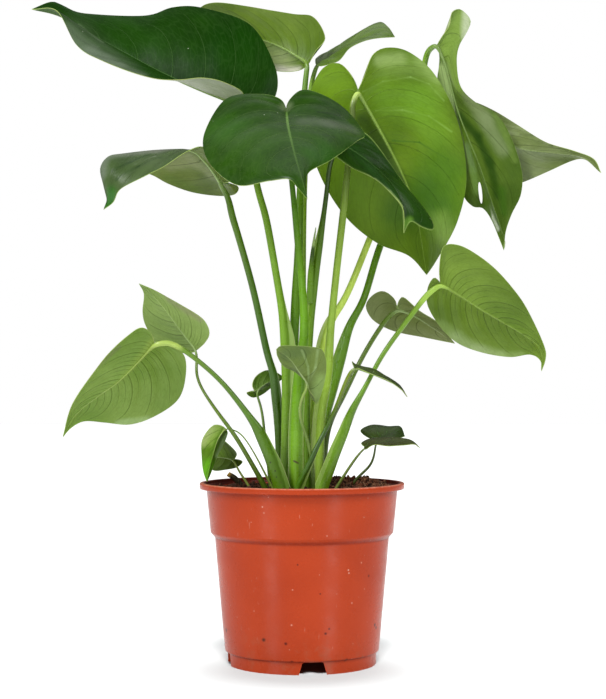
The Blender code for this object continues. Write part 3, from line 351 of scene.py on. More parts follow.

# How each leaf looks, in screen colours: dark and light tone of each side, and its stalk from foot to blade.
# A patch is the places it runs through, its reach, its colour and its share.
# Many leaf patches are painted sheen, highlights and shade; the others are the leaf's own paler or darker
# tones
LOOKS = {
    "top_left": dict(
        upper=[(18, 50, 4), (28, 66, 8)], shine=0.03, grain=0.1, quilt=0.2, vein_strength=0.22,
        under=[(120, 134, 92), (148, 158, 122)], stalk=[(117, 159, 43), (124, 169, 43), (100, 135, 38)],
        wing=(-1.0, 3.0), wing_tone=(158, 186, 104),
        # Painted sheen: the greyish streaks on the left part of the upper side
        upper_patches=[
            ([(-207, 76, 546), (-164, 38, 512)], 34, (70, 92, 58), 0.6),
            ([(-210, 76, 545), (-185, 54, 524)], 13, (98, 114, 90), 0.65),
            ([(-185, 54, 524), (-160, 36, 509)], 13, (104, 118, 98), 0.7),
            ([(-160, 36, 509), (-138, 22, 499)], 10, (92, 108, 84), 0.6),
            ([(-199, 86, 553), (-176, 70, 535)], 3.5, (92, 112, 80), 0.5),
            ([(-58, 50, 528)], 50, (16, 58, 4), 0.6),
        ],
        under_patches=[([(-240, 98, 572), (-222, 92, 563)], 14, (50, 88, 24), 0.9)],
    ),
    "top_back": dict(
        upper=[(70, 100, 34), (90, 120, 44)], under=[(84, 114, 24), (114, 140, 50)], rib=(124, 154, 62),
        stalk=[(98, 139, 21), (96, 143, 16), (98, 143, 17)],
        under_patches=[
            ([(-20, 82, 512)], 30, (172, 184, 132), 0.7),
            ([(-4, 62, 508), (-19, 78, 510)], 7, (226, 222, 206), 0.8),
            ([(-19, 78, 510), (-47, 100, 519)], 8, (226, 224, 206), 0.8),
        ],
    ),
    "top_right": dict(
        upper=[(66, 98, 22), (92, 120, 32)], under=[(116, 146, 62), (146, 172, 92)],
        stalk=[(137, 178, 54), (137, 178, 54), (137, 178, 54)],
    ),
    "large_bright": dict(
        upper=[(84, 120, 28), (110, 144, 40)], under=[(84, 118, 10), (107, 140, 24)], under_vein=0.32,
        thin_veins=0.1, pale_veins=0.45, rib=(146, 180, 76), rib_size=0.46,
        stalk=[(146, 184, 55), (157, 193, 70), (90, 110, 44)], wing=(1.0, 3.1), wing_tone=(168, 196, 98),
        # Painted highlights near the top and at the lower tip; painted shade on the lower right and beside
        # the rib, where the narrow leaf shades it
        under_patches=[
            ([(24, 18, 495)], 45, (118, 160, 16), 0.6),
            ([(70, 18, 504), (104, 29, 509), (119, 33, 491)], 16, (132, 166, 70), 0.6),
            ([(73, 22, 479), (101, 32, 474), (114, 36, 452)], 26, (112, 158, 36), 0.6),
            ([(121, 38, 416), (115, 36, 392)], 40, (62, 112, 8), 0.7),
            ([(105, 32, 395), (84, 30, 381)], 28, (56, 100, 6), 0.7),
            ([(51, 19, 458), (70, 23, 431), (85, 26, 403)], 11, (52, 80, 12), 0.85),
            ([(37, 31, 400)], 45, (96, 132, 20), 0.6),
            ([(119, 34, 373), (125, 33, 359)], 16, (134, 168, 72), 0.5),
            ([(52, 12, 481), (69, 20, 491), (93, 28, 496), (109, 32, 491),
                (122, 35, 477)], 1.5, (140, 178, 82), 0.6),
            ([(63, 17, 466), (86, 28, 468), (109, 34, 464), (129, 38, 451)], 1.5, (138, 178, 78), 0.55),
            ([(77, 23, 441), (101, 33, 441), (126, 39, 427)], 1.3, (60, 104, 14), 0.6),
            ([(66, 17, 508), (84, 20, 511)], 9, (170, 196, 118), 0.5),
            ([(101, 23, 510), (117, 32, 496)], 8, (160, 190, 104), 0.45),
        ],
        stalk_patches=[
            ([(46, 8, 480), (41, 8, 468)], 6, (206, 232, 120), 0.95),
            ([(41, 8, 468), (40, 8, 452)], 6, (190, 220, 104), 0.9),
        ],
    ),
    "front": dict(
        upper=[(26, 59, 2), (43, 81, 6)], shine=0.15, grain=0.06, quilt=0.6, vein=(120, 160, 78),
        vein_strength=0.16, rib_width=1.1, under=[(96, 124, 62), (120, 144, 84)],
        stalk=[(123, 175, 25), (106, 159, 19), (68, 113, 11)], wing=(0.0, 3.6), wing_tone=(106, 146, 46),
        # Painted sheen: the grey streak across the upper part of the blade
        upper_patches=[
            ([(-62, -39, 442)], 30, (44, 92, 12), 0.5),
            ([(16, -79, 416)], 28, (40, 90, 14), 0.5),
            ([(-13, -13, 463)], 9, (124, 140, 100), 0.45),
            ([(23, -19, 460)], 24, (22, 48, 16), 0.5),
            ([(2, -38, 448), (23, -37, 446), (41, -36, 441)], 12, (84, 96, 76), 0.55),
            ([(13, -24, 458), (33, -22, 455)], 2.0, (24, 44, 20), 0.6),
            ([(3, -54, 437), (26, -56, 432)], 2.0, (30, 56, 24), 0.5),
        ],
        stalk_patches=[
            ([(-7, -19, 170), (-3, -19, 168)], 1.3, (74, 52, 24), 0.95),
            ([(-13, -16, 217), (-14, -16, 210)], 0.9, (196, 212, 150), 0.9),
        ],
    ),
    "narrow": dict(
        upper=[(26, 60, 6), (42, 79, 12)], shine=0.14, vein_strength=0.12, vein_shade=0.12, net=0.03,
        margin=1.4, under=[(100, 130, 58), (124, 150, 80)],
        stalk=[(102, 144, 22), (102, 144, 21), (54, 82, 14)], wing=(1.0, 2.3),
        upper_patches=[
            ([(84, -25, 364), (89, -20, 369)], 6, (104, 150, 46), 0.8),
            ([(60, -19, 402), (72, -22, 392)], 3.0, (176, 202, 128), 0.85),
            ([(72, -22, 392), (82, -24, 380)], 3.0, (170, 198, 120), 0.85),
            ([(42, -4, 431), (58, -13, 413), (73, -21, 389)], 9, (42, 84, 28), 0.6),
        ],
    ),
    "left_drooping": dict(
        upper=[(56, 78, 38), (80, 100, 58)], shine=0.16, quilt=0.7, vein_strength=0.15,
        under=[(76, 97, 22), (104, 122, 42)], stalk=[(78, 112, 14), (61, 100, 10), (84, 121, 17)],
        wing=(-1.0, 2.9), wing_tone=(74, 104, 40),
        # Painted sheen: the greyish streaks along the ridge of the upper side
        upper_patches=[
            ([(-160, -21, 427), (-121, -20, 427)], 13, (124, 132, 116), 0.65),
            ([(-121, -20, 427), (-95, -12, 429)], 10, (116, 120, 106), 0.65),
            ([(-164, -30, 405), (-162, -24, 416)], 10, (124, 134, 118), 0.6),
            ([(-155, -36, 407), (-140, -36, 415), (-125, -29, 422)], 3, (42, 66, 30), 0.7),
            ([(-150, -43, 400), (-133, -42, 410)], 3, (42, 66, 30), 0.7),
            ([(-133, -42, 410), (-116, -37, 418)], 3, (44, 68, 32), 0.65),
            ([(-152, -40, 403), (-136, -39, 412), (-120, -33, 420)], 1.6, (134, 146, 122), 0.6),
            ([(-156, -41, 388), (-159, -32, 378)], 11, (38, 104, 12), 0.9),
        ],
        under_patches=[
            ([(-112, 18, 420), (-94, 4, 422)], 13, (136, 144, 92), 0.6),
            ([(-94, 4, 422), (-78, 4, 411)], 11, (128, 138, 84), 0.6),
            ([(-116, 30, 408), (-87, 30, 398)], 8, (86, 112, 26), 0.6),
        ],
    ),
    "hanging_right": dict(
        upper=[(150, 170, 110), (176, 192, 140)], under=[(64, 92, 20), (93, 121, 40)], under_shine=0.12,
        rib=(128, 156, 84), rib_size=0.24, stalk=[(197, 235, 82), (215, 245, 105), (130, 174, 50)],
        wing=(1.0, 2.8), wing_tone=(186, 206, 132),
        # Painted sheen: the greyish and light green streaks on the right half of the underside
        under_patches=[
            ([(139, 45, 549), (130, 42, 525)], 19, (144, 176, 80), 0.98),
            ([(130, 42, 525), (136, 47, 495)], 18, (138, 172, 74), 0.98),
            ([(121, 42, 506), (129, 45, 471)], 9, (178, 204, 130), 0.9),
            ([(144, 42, 554), (143, 47, 536)], 8, (214, 226, 188), 0.85),
            ([(146, 48, 482), (160, 48, 461)], 13, (134, 150, 100), 0.7),
            ([(160, 48, 461), (174, 49, 438)], 12, (130, 148, 98), 0.7),
            ([(137, 33, 463), (152, 39, 446), (162, 40, 425), (168, 37, 397)], 8.5, (42, 74, 12), 0.85),
            ([(169, 53, 467), (178, 53, 449)], 5, (108, 136, 60), 0.6),
            ([(178, 53, 449), (185, 51, 428)], 5, (108, 136, 56), 0.6),
            ([(142, 37, 438), (147, 41, 418)], 6, (112, 138, 84), 0.7),
            ([(147, 41, 418), (152, 45, 401)], 6, (106, 138, 62), 0.7),
            ([(157, 41, 388), (163, 40, 377)], 4.4, (180, 192, 162), 0.85),
            ([(163, 40, 377), (169, 36, 367)], 3.8, (184, 194, 168), 0.85),
            ([(173, 41, 401), (174, 38, 382)], 7, (60, 100, 20), 0.7),
        ],
    ),
    "far_right": dict(
        upper=[(80, 104, 40), (100, 122, 56)], quilt=0.4, under=[(101, 118, 59), (132, 147, 92)],
        rib=(136, 156, 96), stalk=[(124, 166, 29), (96, 142, 18), (84, 126, 16)], wing=(1.0, 3.3),
        wing_tone=(118, 154, 56),
        under_patches=[
            ([(182, 73, 477), (200, 63, 461), (220, 20, 441)], 12, (158, 170, 128), 0.6),
            ([(185, 70, 439), (206, 43, 431), (224, 5, 429)], 10, (134, 148, 100), 0.5),
            ([(191, 62, 452), (212, 38, 447)], 2.2, (92, 106, 62), 0.7),
            ([(194, 57, 438), (214, 25, 437)], 1.8, (96, 110, 64), 0.7),
        ],
    ),
    "lower_right": dict(
        upper=[(80, 110, 36), (104, 132, 50)], under=[(89, 119, 28), (118, 147, 50)], thin_veins=0.9,
        rib=(128, 158, 52), rib_size=0.36, stalk=[(121, 167, 33), (112, 159, 28), (126, 168, 37)],
        wing=(1.0, 3.0), wing_tone=(150, 186, 80),
        under_patches=[
            ([(117, 12, 283), (130, 15, 274)], 9, (142, 170, 92), 0.5),
            ([(130, 16, 271), (148, 16, 262)], 11, (166, 190, 128), 0.55),
            ([(148, 16, 262), (167, 12, 257)], 9, (168, 190, 130), 0.55),
            ([(167, 12, 257), (184, 7, 257)], 6, (152, 178, 104), 0.45),
            ([(119, -12, 342), (116, -6, 326)], 7, (60, 88, 34), 0.5),
        ],
        stalk_patches=[([(117, -12, 317), (101, -13, 304)], 9, (176, 214, 84), 0.75)],
    ),
    "olive_right": dict(
        upper=[(98, 112, 56), (120, 132, 78)], under=[(114, 128, 66), (148, 158, 104)],
        stalk=[(95, 124, 30), (93, 123, 29), (95, 124, 31)],
    ),
    "lower_left": dict(
        upper=[(84, 116, 40), (110, 140, 56)], under=[(109, 142, 52), (134, 163, 74)], thin_veins=0.8,
        rib=(146, 172, 70), stalk=[(91, 131, 14), (80, 120, 11), (99, 135, 21)], wing=(-1.0, 4.4),
        wing_tone=(112, 148, 52),
        under_patches=[
            ([(-131, 17, 203), (-156, 16, 200)], 5, (170, 200, 134), 0.55),
            ([(-152, -21, 265), (-170, -15, 249)], 4, (120, 126, 84), 0.5),
            ([(-124, -18, 268), (-150, -5, 241)], 5, (144, 168, 70), 0.6),
        ],
        stalk_patches=[
            ([(-26, -27, 169)], 1.2, (40, 46, 16), 0.95),
            ([(-22, -27, 162)], 1.2, (44, 50, 18), 0.95),
            ([(-21, -27, 157)], 1.0, (40, 46, 16), 0.95),
            ([(-18, -28, 153), (-13, -27, 151)], 2.0, (84, 66, 34), 0.7),
            ([(-122, -19, 268), (-104, -20, 266)], 9, (184, 208, 100), 0.75),
        ],
    ),
    "small_left": dict(
        upper=[(96, 124, 50), (116, 144, 66)], under=[(125, 152, 76), (152, 176, 97)], thin_veins=0.8,
        stalk=[(88, 117, 20), (88, 116, 18), (97, 126, 27)],
        under_patches=[([(-86, 3, 290), (-112, 12, 306)], 7, (146, 140, 112), 0.5)],
    ),
    "rim_folded": dict(
        upper=[(76, 110, 10), (104, 138, 30)], net=0.3, under=[(60, 96, 5), (85, 121, 23)],
        rib=(160, 184, 90), stalk=[(150, 172, 72), (146, 172, 68), (137, 171, 64)], slender=0.5,
        both_patches=[
            ([(-76, -3, 198), (-83, -3, 186)], 9, (172, 188, 116), 0.6),
            ([(-70, -8, 198), (-76, -8, 186)], 7, (150, 176, 84), 0.5),
            ([(-79, -12, 166), (-79, -12, 158)], 11, (96, 168, 12), 0.75),
            ([(-63, -5, 190), (-70, -7, 174)], 4.5, (158, 188, 128), 0.75),
        ],
    ),
    "rim_round": dict(
        upper=[(54, 72, 18), (74, 96, 30)], under=[(58, 82, 14), (88, 114, 26)],
        stalk=[(146, 159, 70), (141, 156, 66), (134, 152, 59)], slender=0.55,
        both_patches=[([(-74, 10, 172), (-66, 8, 170)], 13, (104, 136, 44), 0.75)],
    ),
    "inner_left": dict(
        upper=[(52, 76, 26), (76, 104, 40)], under=[(72, 104, 28), (101, 135, 42)],
        stalk=[(112, 144, 56), (112, 144, 56), (106, 138, 52)], slender=0.6,
    ),
    "small_centre": dict(
        upper=[(78, 98, 42), (100, 118, 58)], under=[(82, 104, 42), (108, 128, 60)], under_vein=0.35,
        rib=(140, 160, 100), stalk=[(80, 108, 28), (104, 134, 44), (140, 166, 76)], slender=0.8,
        under_patches=[
            ([(13, -38, 224), (16, -38, 236)], 10, (150, 182, 100), 0.6),
            ([(-14, -40, 258), (2, -42, 260)], 9, (76, 98, 50), 0.6),
            ([(6, -44, 232), (11, -42, 247)], 2.0, (152, 178, 116), 0.6),
            ([(11, -42, 247), (13, -42, 261)], 2.0, (146, 170, 112), 0.5),
            ([(6, -44, 232), (5, -43, 248)], 1.6, (146, 172, 112), 0.5),
            ([(5, -43, 248), (0, -41, 261)], 1.6, (140, 164, 108), 0.4),
        ],
    ),
    "slim_right": dict(
        upper=[(44, 61, 14), (66, 82, 34)], under=[(96, 114, 60), (120, 136, 86)],
        stalk=[(85, 132, 11), (53, 90, 7), (112, 134, 27)], wing=(-1.0, 2.1),
    ),
    "low_upper": dict(
        upper=[(43, 64, 14), (64, 80, 31)], shine=0.15, under=[(84, 100, 58), (108, 120, 82)],
        stalk=[(96, 116, 50), (92, 112, 46), (89, 108, 46)], slender=0.75,
    ),
    "low_edge": dict(
        upper=[(50, 53, 14), (70, 78, 32)], shine=0.15, under=[(90, 100, 56), (116, 124, 84)],
        stalk=[(112, 132, 54), (108, 128, 52), (105, 124, 51)], slender=0.75,
    ),
}

# Crumbs of dirt and pale scratches on the pot: a place, half its size, its screen colour and how strong it is
POT_MARKS = [
    ((-62.6, -21.5, 30.1), 2.7, (42, 24, 17), 1.0), ((-64.8, -14.4, 31.7), 1.8, (58, 24, 14), 1.0),
    ((-30.8, -58.4, 27.9), 2.4, (62, 29, 16), 1.0), ((-13.3, -64.5, 25.9), 2.0, (78, 18, 11), 1.0),
    ((18.7, -63.8, 33.5), 1.7, (78, 20, 12), 1.0), ((21.6, -63.3, 37.4), 1.4, (78, 20, 12), 1.0),
    ((59.8, -29.5, 35.2), 2.2, (40, 18, 13), 1.0), ((60.9, -26.5, 32.7), 2.1, (44, 22, 14), 1.0),
    ((35.4, -52.4, 10.6), 2.5, (54, 37, 26), 1.0), ((-8.0, -63.6, 11.2), 2.1, (66, 17, 11), 0.9),
    ((-31.4, -72.5, 135.9), 0.9, (232, 190, 172), 0.6), ((-30.2, -72.5, 131.1), 0.8, (226, 170, 150), 0.6),
    ((19.9, -74.2, 113.0), 0.8, (226, 170, 150), 0.6), ((37.2, -60.5, 84.4), 1.0, (234, 200, 180), 0.6),
    ((37.7, -59.9, 81.9), 0.9, (234, 200, 180), 0.6), ((48.0, -52.9, 89.4), 1.0, (226, 176, 150), 0.6),
    ((-3.6, -71.4, 89.6), 1.1, (78, 22, 12), 1.0), ((14.7, -67.8, 66.1), 1.1, (78, 22, 12), 1.0),
    ((-7.4, -69.3, 69.4), 0.9, (220, 160, 140), 0.6), ((40.1, -55.7, 57.2), 1.0, (226, 166, 146), 0.6),
    ((50.6, -47.7, 67.5), 0.8, (220, 160, 140), 0.6), ((-8.4, -66.7, 41.1), 1.1, (226, 170, 150), 0.6),
    ((-38.7, -56.0, 50.8), 0.8, (220, 160, 140), 0.6), ((54.2, -45.0, 77.7), 1.7, (78, 22, 12), 0.9),
]


def srgb(red, green, blue):
    """The linear colour of a screen colour given from 0 to 255."""
    linear = []
    for value in (red, green, blue):
        share = value / 255.0
        linear.append(share / 12.92 if share <= 0.04045 else ((share + 0.055) / 1.055) ** 2.4)
    return (*linear, 1.0)


POT_DARK = srgb(158, 52, 20)
POT_LIGHT = srgb(172, 60, 25)
POT_PALE = srgb(182, 78, 42)
POT_DUST = srgb(150, 84, 60)
POT_SPECK = srgb(230, 196, 176)
POT_SHADE = srgb(112, 26, 10)
POT_INSIDE_SHADE = srgb(74, 22, 16)
POT_LIP_PALE = srgb(226, 150, 124)
SOIL_DARK = srgb(36, 20, 14)
SOIL_BROWN = srgb(90, 52, 36)
SOIL_RED = srgb(132, 76, 52)
SOIL_TAN = srgb(176, 130, 98)
SOIL_PALE = srgb(186, 160, 128)
WING_PALE = srgb(188, 200, 132)
SCAR_BROWN = srgb(112, 84, 44)
EDGE_PALE = srgb(158, 186, 96)
EDGE_TAN = srgb(150, 162, 84)
SPECK_PALE = srgb(206, 214, 190)
STUB_DARK = srgb(50, 38, 20)
STUB_TAN = srgb(186, 146, 62)
STUB_PALE = srgb(150, 140, 70)


def start_fresh():
    """Leaves nothing selected, so that an operator acts on the new piece alone."""
    if bpy.context.mode != "OBJECT":
        bpy.ops.object.mode_set(mode="OBJECT")
    bpy.ops.object.select_all(action="DESELECT")


def named(name):
    piece = bpy.context.object
    piece.name = name
    piece.data.name = name
    return piece


def apply_modifiers(piece):
    bpy.context.view_layer.objects.active = piece
    for modifier in list(piece.modifiers):
        bpy.ops.object.modifier_apply(modifier=modifier.name)


def merge_doubles(piece, distance, closed=False):
    """Merges points that fall together, and turns the faces of a closed shell outwards."""
    bpy.context.view_layer.objects.active = piece
    bpy.ops.object.mode_set(mode="EDIT")
    bpy.ops.mesh.select_all(action="SELECT")
    bpy.ops.mesh.remove_doubles(threshold=distance * MM)
    if closed:
        bpy.ops.mesh.normals_make_consistent(inside=False)
    bpy.ops.object.mode_set(mode="OBJECT")


def dress(piece, degrees, finish, slot, *nodes):
    """Shades a piece smoothly up to this angle, gives it its finish and hands it over."""
    piece.select_set(True)
    bpy.context.view_layer.objects.active = piece
    bpy.ops.object.shade_smooth_by_angle(angle=math.radians(degrees))
    if finish is not None:
        piece.data.materials.append(finish)
    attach(piece, "root")
    if nodes:
        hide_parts(*nodes)


def move_points(piece, points):
    """Puts each vertex at its place, given in millimetres."""
    piece.data.vertices.foreach_set("co", (np.asarray(points, float) * MM).ravel())
    piece.data.update()


def record_value(piece, name, values):
    """Stores one number a vertex, for the piece's finish to read."""
    attribute = piece.data.attributes.new(name, "FLOAT", "POINT")
    attribute.data.foreach_set("value", np.asarray(values, np.float32).ravel())


def smooth_path(points):
    """A dense Catmull-Rom curve through the points, of any number of columns."""
    points = np.asarray(points, float)
    first = 2.0 * points[0] - points[1]
    last = 2.0 * points[-1] - points[-2]
    padded = np.vstack([first, points, last])
    steps = np.linspace(0.0, 1.0, PATH_DETAIL, endpoint=False)[:, None]
    spans = []
    for before, start, end, after in zip(padded, padded[1:], padded[2:], padded[3:]):
        spans.append(
            0.5
            * (
                2.0 * start
                + (end - before) * steps
                + (2.0 * before - 5.0 * start + 4.0 * end - after) * steps**2
                + (3.0 * start - 3.0 * end + after - before) * steps**3
            )
        )
    spans.append(points[-1:])
    return np.vstack(spans)


def step_lengths(path):
    return np.linalg.norm(np.diff(path[:, :3], axis=0), axis=1)


def path_length(path):
    return float(step_lengths(path).sum())


def along(path, fractions):
    """Points at these fractions of the path's length."""
    lengths = step_lengths(path)
    places = np.concatenate([[0.0], np.cumsum(lengths)]) / lengths.sum()
    return np.stack([np.interp(fractions, places, column) for column in path.T], axis=1)


def evenly(path, count):
    """This many points spread evenly over the path's length."""
    return along(path, np.linspace(0.0, 1.0, count))


def unit(vectors):
    return vectors / np.maximum(np.linalg.norm(vectors, axis=-1, keepdims=True), 1e-9)


class Finish:
    """A material in the making. Each method adds what it says and gives back the result to use further on.

    The tone is the colour so far.
    """

    def __init__(self, name, roughness, shine):
        self.material = bpy.data.materials.new(name)
        self.material.use_nodes = True
        self.tree = self.material.node_tree
        self.shader = self.tree.nodes["Principled BSDF"]
        self.shader.inputs["Roughness"].default_value = roughness
        self.shader.inputs["Specular IOR Level"].default_value = shine
        self.tone = None

    def node(self, kind, inputs, **settings):
        node = self.tree.nodes.new("ShaderNode" + kind)
        for setting, value in settings.items():
            setattr(node, setting, value)
        for socket, value in inputs.items():
            if isinstance(value, bpy.types.NodeSocket):
                self.tree.links.new(value, node.inputs[socket])
            else:
                node.inputs[socket].default_value = value
        return node

    def reckon(self, operation, first, second=0.0, third=0.0):
        """A sum on numbers."""
        return self.node("Math", {0: first, 1: second, 2: third}, operation=operation).outputs[0]

    def product(self, first, *others):
        for other in others:
            first = self.reckon("MULTIPLY", first, other)
        return first

    def vector(self, operation, first, second, scale=1.0):
        """A sum on places; gives back a place, or a number for the operations that have one."""
        node = self.node("VectorMath", {0: first, 1: second, 3: scale}, operation=operation)
        return node.outputs["Value" if operation in ("DOT_PRODUCT", "DISTANCE") else "Vector"]

    def scaled(self, place, scale):
        return self.vector("SCALE", place, (0.0, 0.0, 0.0), scale)

    def place(self, scale=(1.0, 1.0, 1.0), turn=(0.0, 0.0, 0.0)):
        """The place on the object, stretched so that a pattern on it is."""
        where = self.node("TexCoord", {}).outputs["Object"]
        return self.node("Mapping", {"Vector": where, "Scale": scale, "Rotation": turn}).outputs[0]

    def parts(self, place):
        return self.node("SeparateXYZ", {0: place}).outputs

    def flat_place(self, across, along_it):
        return self.node("CombineXYZ", {0: across, 1: along_it}).outputs[0]

    def sheet_place(self):
        """The place on a leaf or round a stalk: across and lengthwise, from 0 to 1."""
        return self.parts(self.node("UVMap", {}, uv_map="UVMap").outputs[0])[:2]

    def value(self, name):
        return self.node("Attribute", {}, attribute_name=name).outputs["Fac"]

    def from_whole(self, value):
        """How far a value is from the nearest whole number."""
        half = self.reckon("ABSOLUTE", self.reckon("ADD", self.reckon("FRACT", value), -0.5))
        return self.reckon("SUBTRACT", 0.5, half)

    def mottle(self, place, scale, detail=3.0, roughness=0.55):
        inputs = {"Vector": place, "Scale": scale, "Detail": detail, "Roughness": roughness}
        return self.node("TexNoise", inputs).outputs["Fac"]

    def cells(self, place, scale, feature="F1"):
        return self.node("TexVoronoi", {"Vector": place, "Scale": scale}, feature=feature).outputs["Distance"]

    def fade(self, value, start, end, low=0.0, high=1.0):
        """Runs smoothly from low to high as the value goes from start to end."""
        inputs = {0: value, 1: start, 2: end, 3: low, 4: high}
        return self.node("MapRange", inputs, interpolation_type="SMOOTHSTEP").outputs[0]

    def cloud(self, place, scale, start, end, low=0.0, high=1.0, detail=3.0, roughness=0.55):
        """Mottling, faded."""
        return self.fade(self.mottle(place, scale, detail, roughness), start, end, low, high)

    def flecks(self, place, scale, large, small, cloud_scale, start=0.6, end=0.66):
        """Small round flecks, here and there."""
        spots = self.fade(self.cells(place, scale), large, small)
        return self.product(spots, self.cloud(place, cloud_scale, start, end, detail=1.0))

    def blend(self, share, one, other):
        return self.node("Mix", {0: share, 6: one, 7: other}, data_type="RGBA").outputs[2]

    def paint(self, tone, *shares):
        """Lays a tone over the colour so far, by the product of the shares."""
        self.tone = self.blend(self.product(*shares), self.tone, tone)

    def toned(self, value, saturation=1.0):
        """The colour so far, lighter or darker, and more or less vivid."""
        inputs = {"Value": value, "Saturation": saturation, "Color": self.tone}
        return self.node("HueSaturation", inputs).outputs[0]

    def band(self, value, middle, half_width):
        """One at a middle value given in millimetres, falling to nothing this far to each side."""
        gap = self.reckon("ABSOLUTE", self.reckon("ADD", value, -middle * MM))
        return self.fade(gap, 0.2 * half_width * MM, half_width * MM, 1.0, 0.0)

    def patches(self, patches, uneven=0.5):
        """Shades the colour towards others along short streaks with outlines that wander."""
        place = self.node("TexCoord", {}).outputs["Object"]
        drift = self.node("TexNoise", {"Vector": place, "Scale": 55.0, "Detail": 2.0}).outputs["Color"]
        drift = self.vector("SUBTRACT", drift, (0.5, 0.5, 0.5))
        for points, reach, tone, share in patches:
            wander = min(uneven * reach, FARTHEST_WANDER) * MM
            for start, end in zip(points, points[1:] or points):
                where = self.vector("ADD", place, self.scaled(drift, wander))
                start, end = Vector(start) * MM, Vector(end) * MM
                way = end - start
                from_start = self.vector("SUBTRACT", where, start)
                length = max(way.length_squared, 1e-9)
                along_it = self.reckon("DIVIDE", self.vector("DOT_PRODUCT", from_start, way), length)
                along_it.node.use_clamp = True
                gap = self.vector("DISTANCE", from_start, self.scaled(way, along_it))
                self.paint(srgb(*tone), self.fade(gap, 0.15 * reach * MM, reach * MM, share, 0.0))

    def relief(self, height, depth):
        """Raises the surface by up to this many millimetres."""
        bump = self.node("Bump", {"Height": height, "Distance": depth * MM, "Strength": 1.0})
        self.tree.links.new(bump.outputs[0], self.shader.inputs["Normal"])

    def roughness(self, value):
        self.tree.links.new(value, self.shader.inputs["Roughness"])

    def done(self):
        self.tree.links.new(self.tone, self.shader.inputs["Base Color"])
        return self.material


def make_camera():
    bpy.ops.object.camera_add(location=CAMERA_PLACE, rotation=(math.radians(90.0), 0.0, 0.0))
    camera = bpy.context.object
    camera.data.lens = camera.data.sensor_width * FOCAL_PIXELS / IMAGE_HEIGHT
    camera.data.shift_x = AXIS_LEFT_OF_MIDDLE / IMAGE_HEIGHT
    camera.data.shift_y = HORIZON_BELOW_MIDDLE / IMAGE_HEIGHT
    camera.data.clip_start = CAMERA_NEAREST
    bpy.context.scene.camera = camera


def make_sun(name, azimuth, elevation, strength, softness):
    """A broad soft light from this side and height."""
    bpy.ops.object.light_add(type="SUN", location=(0.0, -1.0, 1.5))
    sun = bpy.context.object
    sun.name = name
    side, height = math.radians(azimuth), math.radians(elevation)
    level = math.cos(height)
    towards = Vector((level * math.sin(side), -level * math.cos(side), math.sin(height)))
    sun.rotation_euler = towards.to_track_quat("Z", "Y").to_euler()
    sun.data.energy = strength
    sun.data.angle = math.radians(softness)
    return sun


def select_for(lamp, *pieces):
    start_fresh()
    for piece in pieces:
        piece.select_set(True)
    bpy.context.view_layer.objects.active = lamp


def share_light(lamp, share, *pieces):
    """Lets a lamp light these pieces alone, or everything but them."""
    select_for(lamp, *pieces)
    bpy.ops.object.light_linking_receivers_link(link_state=share)


def share_shadow(lamp, share, piece):
    """Lets one piece alone cast this lamp's shadow, or all but that piece."""
    select_for(lamp, piece)
    bpy.ops.object.light_linking_blockers_link(link_state=share)


def make_floor():
    start_fresh()
    bpy.ops.mesh.primitive_plane_add(size=FLOOR_SIZE, location=(0.0, 0.0, 0.0))
    floor = named("studio_floor")
    bpy.ops.object.mode_set(mode="EDIT")
    bpy.ops.mesh.subdivide(number_cuts=3)
    bpy.ops.object.mode_set(mode="OBJECT")
    paper = Finish("floor_paper", 0.85, 0.2)
    paper.tone = paper.blend(paper.mottle(paper.place(), 3.0, 2.0), FLOOR_DARK, FLOOR_LIGHT)
    floor.data.materials.append(paper.done())
    return floor


def make_studio(pot, soil):
    """A pale floor in a white surround, and soft lamps for the plant, the pot and the floor."""
    bpy.context.scene.view_settings.view_transform = "Standard"
    floor = make_floor()
    for name, (azimuth, elevation, strength, softness, lit) in LAMPS.items():
        lamp = make_sun(name, azimuth, elevation, strength, softness)
        if lit == "plant":
            share_light(lamp, "EXCLUDE", floor, pot)
        elif lit == "pot":
            share_light(lamp, "INCLUDE", pot)
        elif lit == "pot from below":
            share_light(lamp, "INCLUDE", pot)
            share_shadow(lamp, "EXCLUDE", floor)
        else:
            share_light(lamp, "INCLUDE", floor)
            share_shadow(lamp, "INCLUDE", pot if lit == "floor past pot" else soil)
    world = bpy.context.scene.world or bpy.data.worlds.new("studio")
    bpy.context.scene.world = world
    world.use_nodes = True
    nodes, links = world.node_tree.nodes, world.node_tree.links
    nodes.clear()
    output = nodes.new("ShaderNodeOutputWorld")
    seen = nodes.new("ShaderNodeBackground")
    seen.inputs["Color"].default_value = (1.0, 1.0, 1.0, 1.0)
    lighting = nodes.new("ShaderNodeBackground")
    lighting.inputs["Strength"].default_value = ROOM_LIGHT
    choice = nodes.new("ShaderNodeMixShader")
    path = nodes.new("ShaderNodeLightPath")
    links.new(path.outputs["Is Camera Ray"], choice.inputs[0])
    links.new(lighting.outputs[0], choice.inputs[1])
    links.new(seen.outputs[0], choice.inputs[2])
    links.new(choice.outputs[0], output.inputs["Surface"])


def rounded(profile):
    """The profile's points, each corner with a radius turned into an arc of short steps."""
    points = []
    for number, (radius, height, fillet) in enumerate(profile):
        corner = np.array((radius, height))
        if not fillet:
            points.append(corner)
            continue
        before = np.array(profile[number - 1][:2])
        after = np.array(profile[number + 1][:2])
        start = corner + unit(before - corner) * fillet
        end = corner + unit(after - corner) * fillet
        for step in np.linspace(0.0, 1.0, CORNER_DETAIL + 1):
            points.append((1.0 - step) ** 2 * start + 2.0 * step * (1.0 - step) * corner + step**2 * end)
    return points


